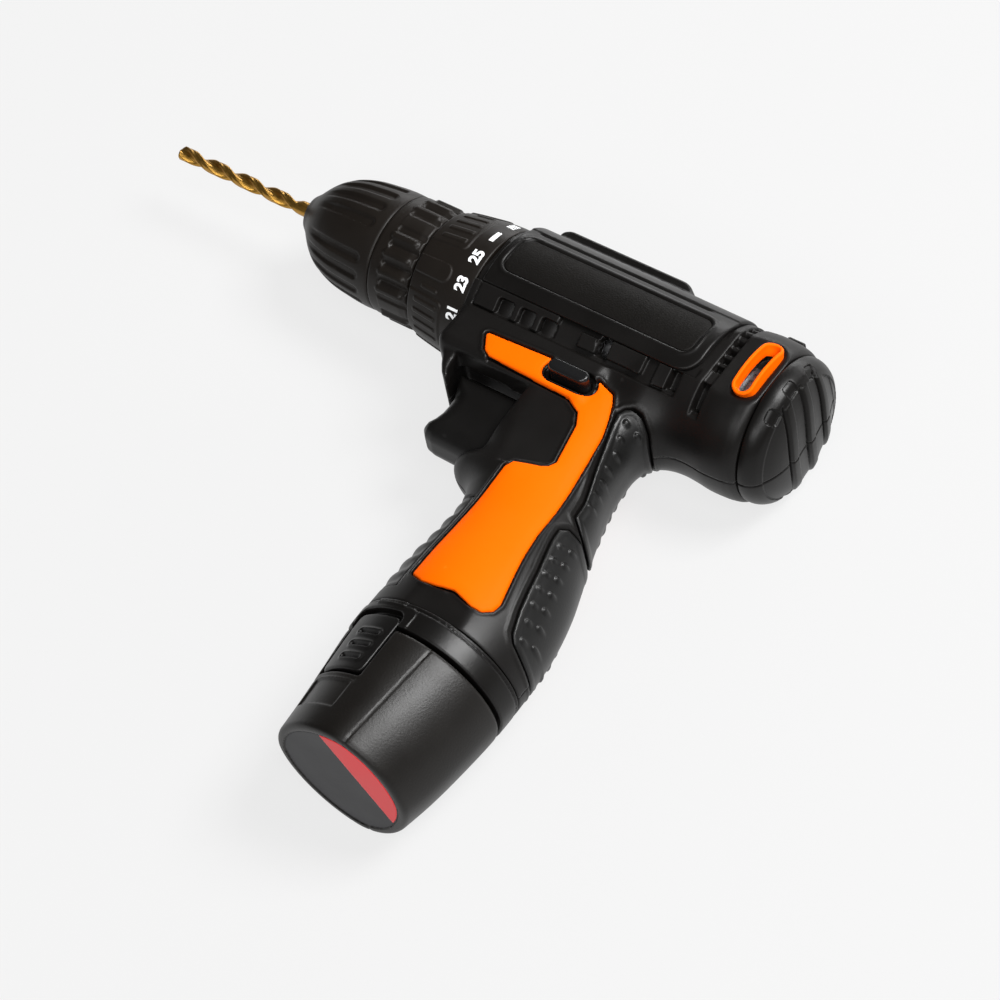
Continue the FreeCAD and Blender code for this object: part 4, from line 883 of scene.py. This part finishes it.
sculpt("battery_shell", pack_field, (11, 93, -27), (71, 168.5, 27), 0.5, "battery", "pack_black", PACK_BLACK,
       "battery_case")


def latch_field(sign):
    """Latch pad with three ribs, on the left for sign 1 and on the right for -1."""
    def field(x, y, z):
        oval = handle_oval(x, y, z)
        pad = block2(x, y, (55.4, 134.6), (8.3, 10.3), 2.2)
        form = smooth_max(oval + 0.25, pad, 0.9)
        for index in range(3):
            rib = stroke(x, y, (51.2 + 0.2 * index, 131.3 + 4.5 * index), (57.6, 131.3 + 4.5 * index), 0.0)
            form = form + 0.5 * ridge(rib, 0, 0.5) - 0.4 * ridge(rib, 1.1, 0.5)
        form = np.maximum(form, -2.9 - oval)
        return np.maximum(form, 8 - sign * z)
    return field


for side_name, sign in SIDES:
    sculpt(f"latch_pad_{side_name}", latch_field(sign), *side_box(sign, (46, 123, 8), (66, 146, 26)), 0.38,
           f"latch_{side_name}", "latch_black", TRIGGER_BLACK, f"battery_latch_{side_name}")


# -------------------- labels of the battery
LABEL_Y = 166.0         # height at which the outline of the base label is taken


def base_field(x, y, z):
    return np.maximum(handle_oval(x, LABEL_Y + 0 * y, z) + 2.6, slab(y, PACK_BOTTOM - 1.2, PACK_BOTTOM - 0.3))


def red_part(x, y, z):
    split = -((x - 33.0) * 0.82 - z * 0.57)
    inner = handle_oval(x, LABEL_Y + 0 * y, z) + 3.0
    return np.maximum(np.maximum(inner, -split), slab(y, PACK_BOTTOM - 0.8, PACK_BOTTOM - 0.15))


sculpt("base_label", base_field, (17, 163.8, -25), (66, 167.6, 25), 0.4, "battery", "pack_label", LABEL_GREY,
       "battery_base")
sculpt("base_label_red", red_part, (17, 164.6, -25), (66, 167.6, 25), 0.3, "battery", "pack_label", LABEL_RED)


# -------------------- trigger and button
TRIGGER = [(62.5, 34.6), (94.2, 34.6), (93.5, 38.4), (92.7, 41.8), (92.3, 45.0), (92.4, 48.2), (93.1, 51.0),
           (94.2, 53.2), (94.1, 55.4), (92.6, 57.0), (90, 57.6), (62.5, 58.3)]


spring_low, spring_high = (np.array(corner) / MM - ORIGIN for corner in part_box("trigger_spring"))
SPRING_MIDDLE = (spring_low + spring_high) / 2
SPRING_ROOM = (spring_high[1] - spring_low[1]) / 2 + 0.4
SPRING_END = spring_high[0] + 6.0


def trigger_field(x, y, z):
    """Trigger with round edges below and a bore for its spring."""
    form = round_plate(outline(x, y, TRIGGER), z, 8.45, 6.4 - 4.2 * step_up(-y, -42, -35.5))
    form = smooth_max(form, 66.9 - x, 0.4)
    bore = np.hypot(y - SPRING_MIDDLE[1], z - SPRING_MIDDLE[2]) - SPRING_ROOM
    return np.maximum(form, -np.maximum(bore, x - SPRING_END))


sculpt("finger_trigger", trigger_field, (66, 33.5, -9.5), (96, 60, 9.5), 0.38, "trigger", "trigger_black",
       TRIGGER_BLACK, "trigger")


def button_field(x, y, z):
    pill = stroke(x, y, *BUTTON, BUTTON_RADIUS)
    return smooth_max(pill, np.abs(z) - 21.6, 1.3)


sculpt("reverse_button", button_field, (51, 22, -23), (67, 29, 23), 0.35, "direction_button", "button_black",
       GLOSS_BLACK, "direction_button")


# -------------------- torque collar
def soft_pad(across, along, half_across, half_along, rounding=1.2, soft=0.3):
    return step_up(-block2(across, along, (0, 0), (half_across, half_along), rounding), -soft, soft)


COLLAR_ARC = 22         # radius at which widths on the collar are measured
COLLAR_RADIUS = curve((104, 22.95), (106, 23.1), (110, 23.0), (117, 22.1), (124, 21.0), (127, 20.4))


def collar_relief(x, angle):
    """Four narrow and four wide pads, with short bars on the wide ones and in the gaps."""
    narrow = quarter_arc(angle, -31.5, COLLAR_ARC)
    wide = quarter_arc(angle, 13.5, COLLAR_ARC)
    height = 0.42 * soft_pad(narrow, x - 120.6, 2.9, 7.8, 2.6)
    height = height + 0.42 * soft_pad(wide, x - 120.6, 8.4, 8.0, 1.6)
    for offset in (-15, -5, 5, 15):
        bar = quarter_arc(angle, 13.5 + offset, COLLAR_ARC)
        height = height + 0.38 * soft_pad(bar, x - 118.8, 0.75, 4.6, 0.5, 0.25)
    gap = quarter_arc(angle, -48.5, COLLAR_ARC)
    return height + 0.35 * soft_pad(gap, x - 118.6, 0.6, 3.2, 0.5, 0.25)


collar_outer = [(x, float(COLLAR_RADIUS(x)), step_up(np.array(x), 110.8, 112).item()
                 * step_up(-np.array(x), -126.4, -125.6).item()) for x in np.arange(104.7, 126.2, 0.3)]
collar_ring = ([(104.3, 19.3, 0), (104.3, 22.6, 0), (104.4, 22.85, 0)] + collar_outer
               + [(126.5, 20.2, 0), (126.75, 19.6, 0), (126.8, 18.8, 0), (126.8, 12.2, 0), (124.6, 12.2, 0),
                  (124.6, 19.3, 0)])
lathe("torque_dial", collar_ring, collar_relief, TURNS, "torque_collar", "collar_black", CHUCK_BLACK,
      "torque_collar")

FIRST_MARK, MARK_STEP, MARK_X = 14.4, 24.0, 107.9
DIAL_ARC = 23.0         # radius on which the prints are laid out


def wrapped_print(name, mesh, angle):
    """Wraps a flat print round the dial: its x goes up round the flank, its y forward."""
    piece = add_object(name, mesh)
    for vertex in mesh.vertices:
        u, v, w = vertex.co
        x = MARK_X + v
        radius = float(COLLAR_RADIUS(x)) + w
        turn = math.radians(angle) + u / DIAL_ARC
        spot = np.array([x, -radius * math.sin(turn), radius * math.cos(turn)])
        vertex.co = Vector((spot + ORIGIN) * MM)
    return place_piece(piece, "torque_collar", "collar_black", PRINT_WHITE)


def print_bars(name, bars, angle):
    """Raised print made of flat quads given as corner lists in millimetres."""
    points, faces = [], []
    for corners in bars:
        first = len(points)
        points += [(u, v, w) for w in (-0.15, 0.06) for u, v in corners]
        n = len(corners)
        faces.append(list(range(first + n, first + 2 * n)))
        faces.append(list(range(first + n - 1, first - 1, -1)))
        faces += [[first + i, first + (i + 1) % n, first + n + (i + 1) % n, first + n + i] for i in range(n)]
    mesh = bpy.data.meshes.new(name)
    mesh.from_pydata(points, [], faces)
    return wrapped_print(name, mesh, angle)


def print_number(text, angle):
    """Dial number, wrapped round the rear of the torque collar."""
    letters = bpy.data.curves.new(f"mark_{text}", "FONT")
    letters.body = text
    letters.size = 5.1
    letters.align_x = "CENTER"
    letters.align_y = "CENTER"
    letters.offset = 0.2
    letters.extrude = 0.06
    letters.resolution_u = 6
    letters.space_character = 0.95
    maker = bpy.data.objects.new(f"mark_maker_{text}", letters)
    mesh = bpy.data.meshes.new_from_object(maker)
    bpy.data.objects.remove(maker)
    return wrapped_print(f"mark_{text}", mesh, angle)


BAR_HALF, BAR_THICK = 2.5, 0.8
bar_steps = [-BAR_HALF + 0.5 * i for i in range(11)]
print_bars("mark_bar", [[(u, -BAR_THICK), (v, -BAR_THICK), (v, BAR_THICK), (u, BAR_THICK)]
                        for u, v in zip(bar_steps, bar_steps[1:])], FIRST_MARK)
print_bars("mark_drill", [[(-2.2 + 1.2 * i, -1.5), (-1.5 + 1.2 * i, -1.5), (-1.0 + 1.2 * i, 1.5),
                           (-1.7 + 1.2 * i, 1.5)] for i in range(4)], FIRST_MARK + MARK_STEP)
for index in range(13):
    print_number(str(2 * index + 1), FIRST_MARK + MARK_STEP * (index + 2))


# -------------------- chuck sleeves
GROUP_STEP = 18         # degrees between the ribs or flutes of a group


def rear_sleeve_relief(x, angle):
    """Groups of four short round-ended hollows that run out at the rear rim, with ribs between."""
    height = 0.0
    for index in range(4):
        across = quarter_arc(angle, -19 - GROUP_STEP * index, 19.8)
        rib = stroke(across, x, (0, 130.2), (0, 138.4), 0.0)
        height = height + 0.6 * np.exp(-(rib / 1.05) ** 4)
        for side in (-2.7, 2.7):
            hollow = stroke(across, x, (side, 124), (side, 137.6), 0.0)
            height = height - 0.55 * np.exp(-(hollow / 1.1) ** 4)
    return height


rear_outer = [(x, 19.35 + 0.35 * step_up(np.array(x), 128, 131).item() - 0.15 * (x > 139), 1.0)
              for x in np.arange(128.2, 142.2, 0.3)]
rear_ring = ([(127.6, 6.4, 0), (127.6, 18.6, 0), (127.8, 19.0, 0.3)] + rear_outer
             + [(142.6, 19.45, 0), (142.85, 19.15, 0), (142.85, 17.1, 0), (129.5, 17.1, 0), (129.5, 6.4, 0)])
lathe("chuck_sleeve_rear", rear_ring, rear_sleeve_relief, TURNS, "spindle", "chuck_black", CHUCK_BLACK,
      "chuck_rear_sleeve")

NOSE = curve((143, 19.4), (147, 19.55), (154.3, 19.0), (160.5, 18.1), (164.0, 17.1), (167.2, 15.8),
             (170.0, 14.1), (172.4, 12.1), (174.4, 10.1), (176.2, 8.2), (178.0, 6.6))


def front_sleeve_relief(x, angle):
    """Groups of four long round-bottomed flutes that fade out towards the nose."""
    height = 0.0
    for index in range(4):
        across = quarter_arc(angle, GROUP_STEP * index - 17, 18.5)
        flute = stroke(across, x, (0, 148.6), (0, 172), 0.0)
        height = height - 0.9 * np.exp(-(flute / 1.45) ** 4) * step_up(-x, -172, -164)
    return height


front_outer = [(x, float(NOSE(x)), 1.0) for x in np.arange(144.0, 178.0, 0.35)]
front_ring = ([(143.05, 17.65, 0), (143.05, 19.1, 0), (143.3, 19.35, 0)] + front_outer
              + [(178.5, 6.2, 0), (178.7, 5.9, 0), (178.6, 5.35, 0), (176.5, 5.35, 0), (174.6, 7.6, 0),
                 (168, 13.4, 0), (161.5, 16.2, 0), (156.6, 17.3, 0), (149.8, 17.5, 0)])
lathe("chuck_sleeve_front", front_ring, front_sleeve_relief, TURNS, "chuck_sleeve", "chuck_black",
      CHUCK_BLACK, "chuck_front_sleeve")

# -------------------- drill bit
BIT_RADIUS, BIT_START, FLUTE_START, BIT_PITCH = 2.4, 141.0, 183.0, 25.0


def bit_radius(x, angle):
    """Section of a twist drill: two lands with a raised margin and two hollow flutes."""
    twisted = fold(angle - (x - FLUTE_START) / BIT_PITCH * 360, 180)
    flute = step_up(-np.abs(twisted), -62, -20)
    depth = 0.58 * step_up(x, FLUTE_START, FLUTE_START + 5)
    radius = BIT_RADIUS * (1 - depth * flute)
    radius = radius - 0.1 * step_up(twisted, 68, 74) * step_up(x, FLUTE_START + 2, FLUTE_START + 5)
    cone = np.clip((BIT_TIP - x) * math.tan(math.radians(59)), 0.02, None)
    return np.minimum(radius, cone)


bit_x = np.concatenate([[BIT_START], np.arange(BIT_START + 1, FLUTE_START, 2.0),
                        np.arange(FLUTE_START, BIT_TIP, 0.22), [BIT_TIP]])
bit_ring = [(BIT_START, 0.01, 0)] + [(x, 0.0, 1.0) for x in bit_x]
lathe("twist_bit", bit_ring, bit_radius, 96, "drill_bit", "bit_gold", GOLD, "drill_bit")

# -------------------- stage
CAMERA_BACK = Vector((-0.436, 0.434, 0.788))
CAMERA_UP = Vector((0.398, -0.693, 0.601))
CAMERA_FROM_SPINDLE = Vector((-0.3987, 0.5205, 0.8297))

camera_data = bpy.data.cameras.new("camera")
camera_data.lens = 128.1
camera_data.sensor_width = 36
camera_data.clip_end = 20
camera = add_object("camera", camera_data)
back = CAMERA_BACK.normalized()
right = CAMERA_UP.cross(back).normalized()
turn = Matrix((right, back.cross(right), back)).transposed().to_4x4()
camera.matrix_world = Matrix.Translation(Vector(ORIGIN * MM) + CAMERA_FROM_SPINDLE) @ turn
bpy.context.scene.camera = camera

bpy.ops.mesh.primitive_plane_add(size=12, location=(0, 0, 0))
floor = bpy.context.active_object
floor.name = "floor"
floor_look, _, _, floor_shader = new_material("pale_floor")
floor_shader.inputs["Base Color"].default_value = (0.08, 0.08, 0.08, 1)
floor_shader.inputs["Emission Color"].default_value = (1.0, 1.0, 1.0, 1)
floor_shader.inputs["Emission Strength"].default_value = 0.76
floor_shader.inputs["Roughness"].default_value = 0.9
floor_shader.inputs["Specular IOR Level"].default_value = 0.1
floor.data.materials.append(floor_look)


def softbox(name, position, size, power, target=(0, 0, 0.02)):
    data = bpy.data.lights.new(name, "AREA")
    data.shape = "RECTANGLE"
    data.size, data.size_y = size
    data.energy = power
    lamp = add_object(name, data)
    lamp.location = position
    lamp.rotation_euler = (Vector(target) - Vector(position)).to_track_quat("-Z", "Y").to_euler()
    return lamp


softbox("rear_panel", (-0.85, -0.6, 1.4), (0.7, 0.7), 44)
softbox("side_panel", (-0.4, 1.3, 1.1), (0.9, 0.35), 9)
softbox("top_panel", (0.1, -1.5, 0.35), (1.6, 0.3), 12)

sun_data = bpy.data.lights.new("overhead", "SUN")
sun_data.energy = 1.5
sun_data.angle = math.radians(30)
sun = add_object("overhead", sun_data)
sun.rotation_euler = (math.radians(-22), math.radians(-28), 0)

world = bpy.data.worlds.new("studio")
bpy.context.scene.world = world
world.use_nodes = True
world.node_tree.nodes["Background"].inputs["Color"].default_value = (1, 1, 1, 1)
world.node_tree.nodes["Background"].inputs["Strength"].default_value = 0.1
bpy.context.scene.view_settings.view_transform = "Standard"
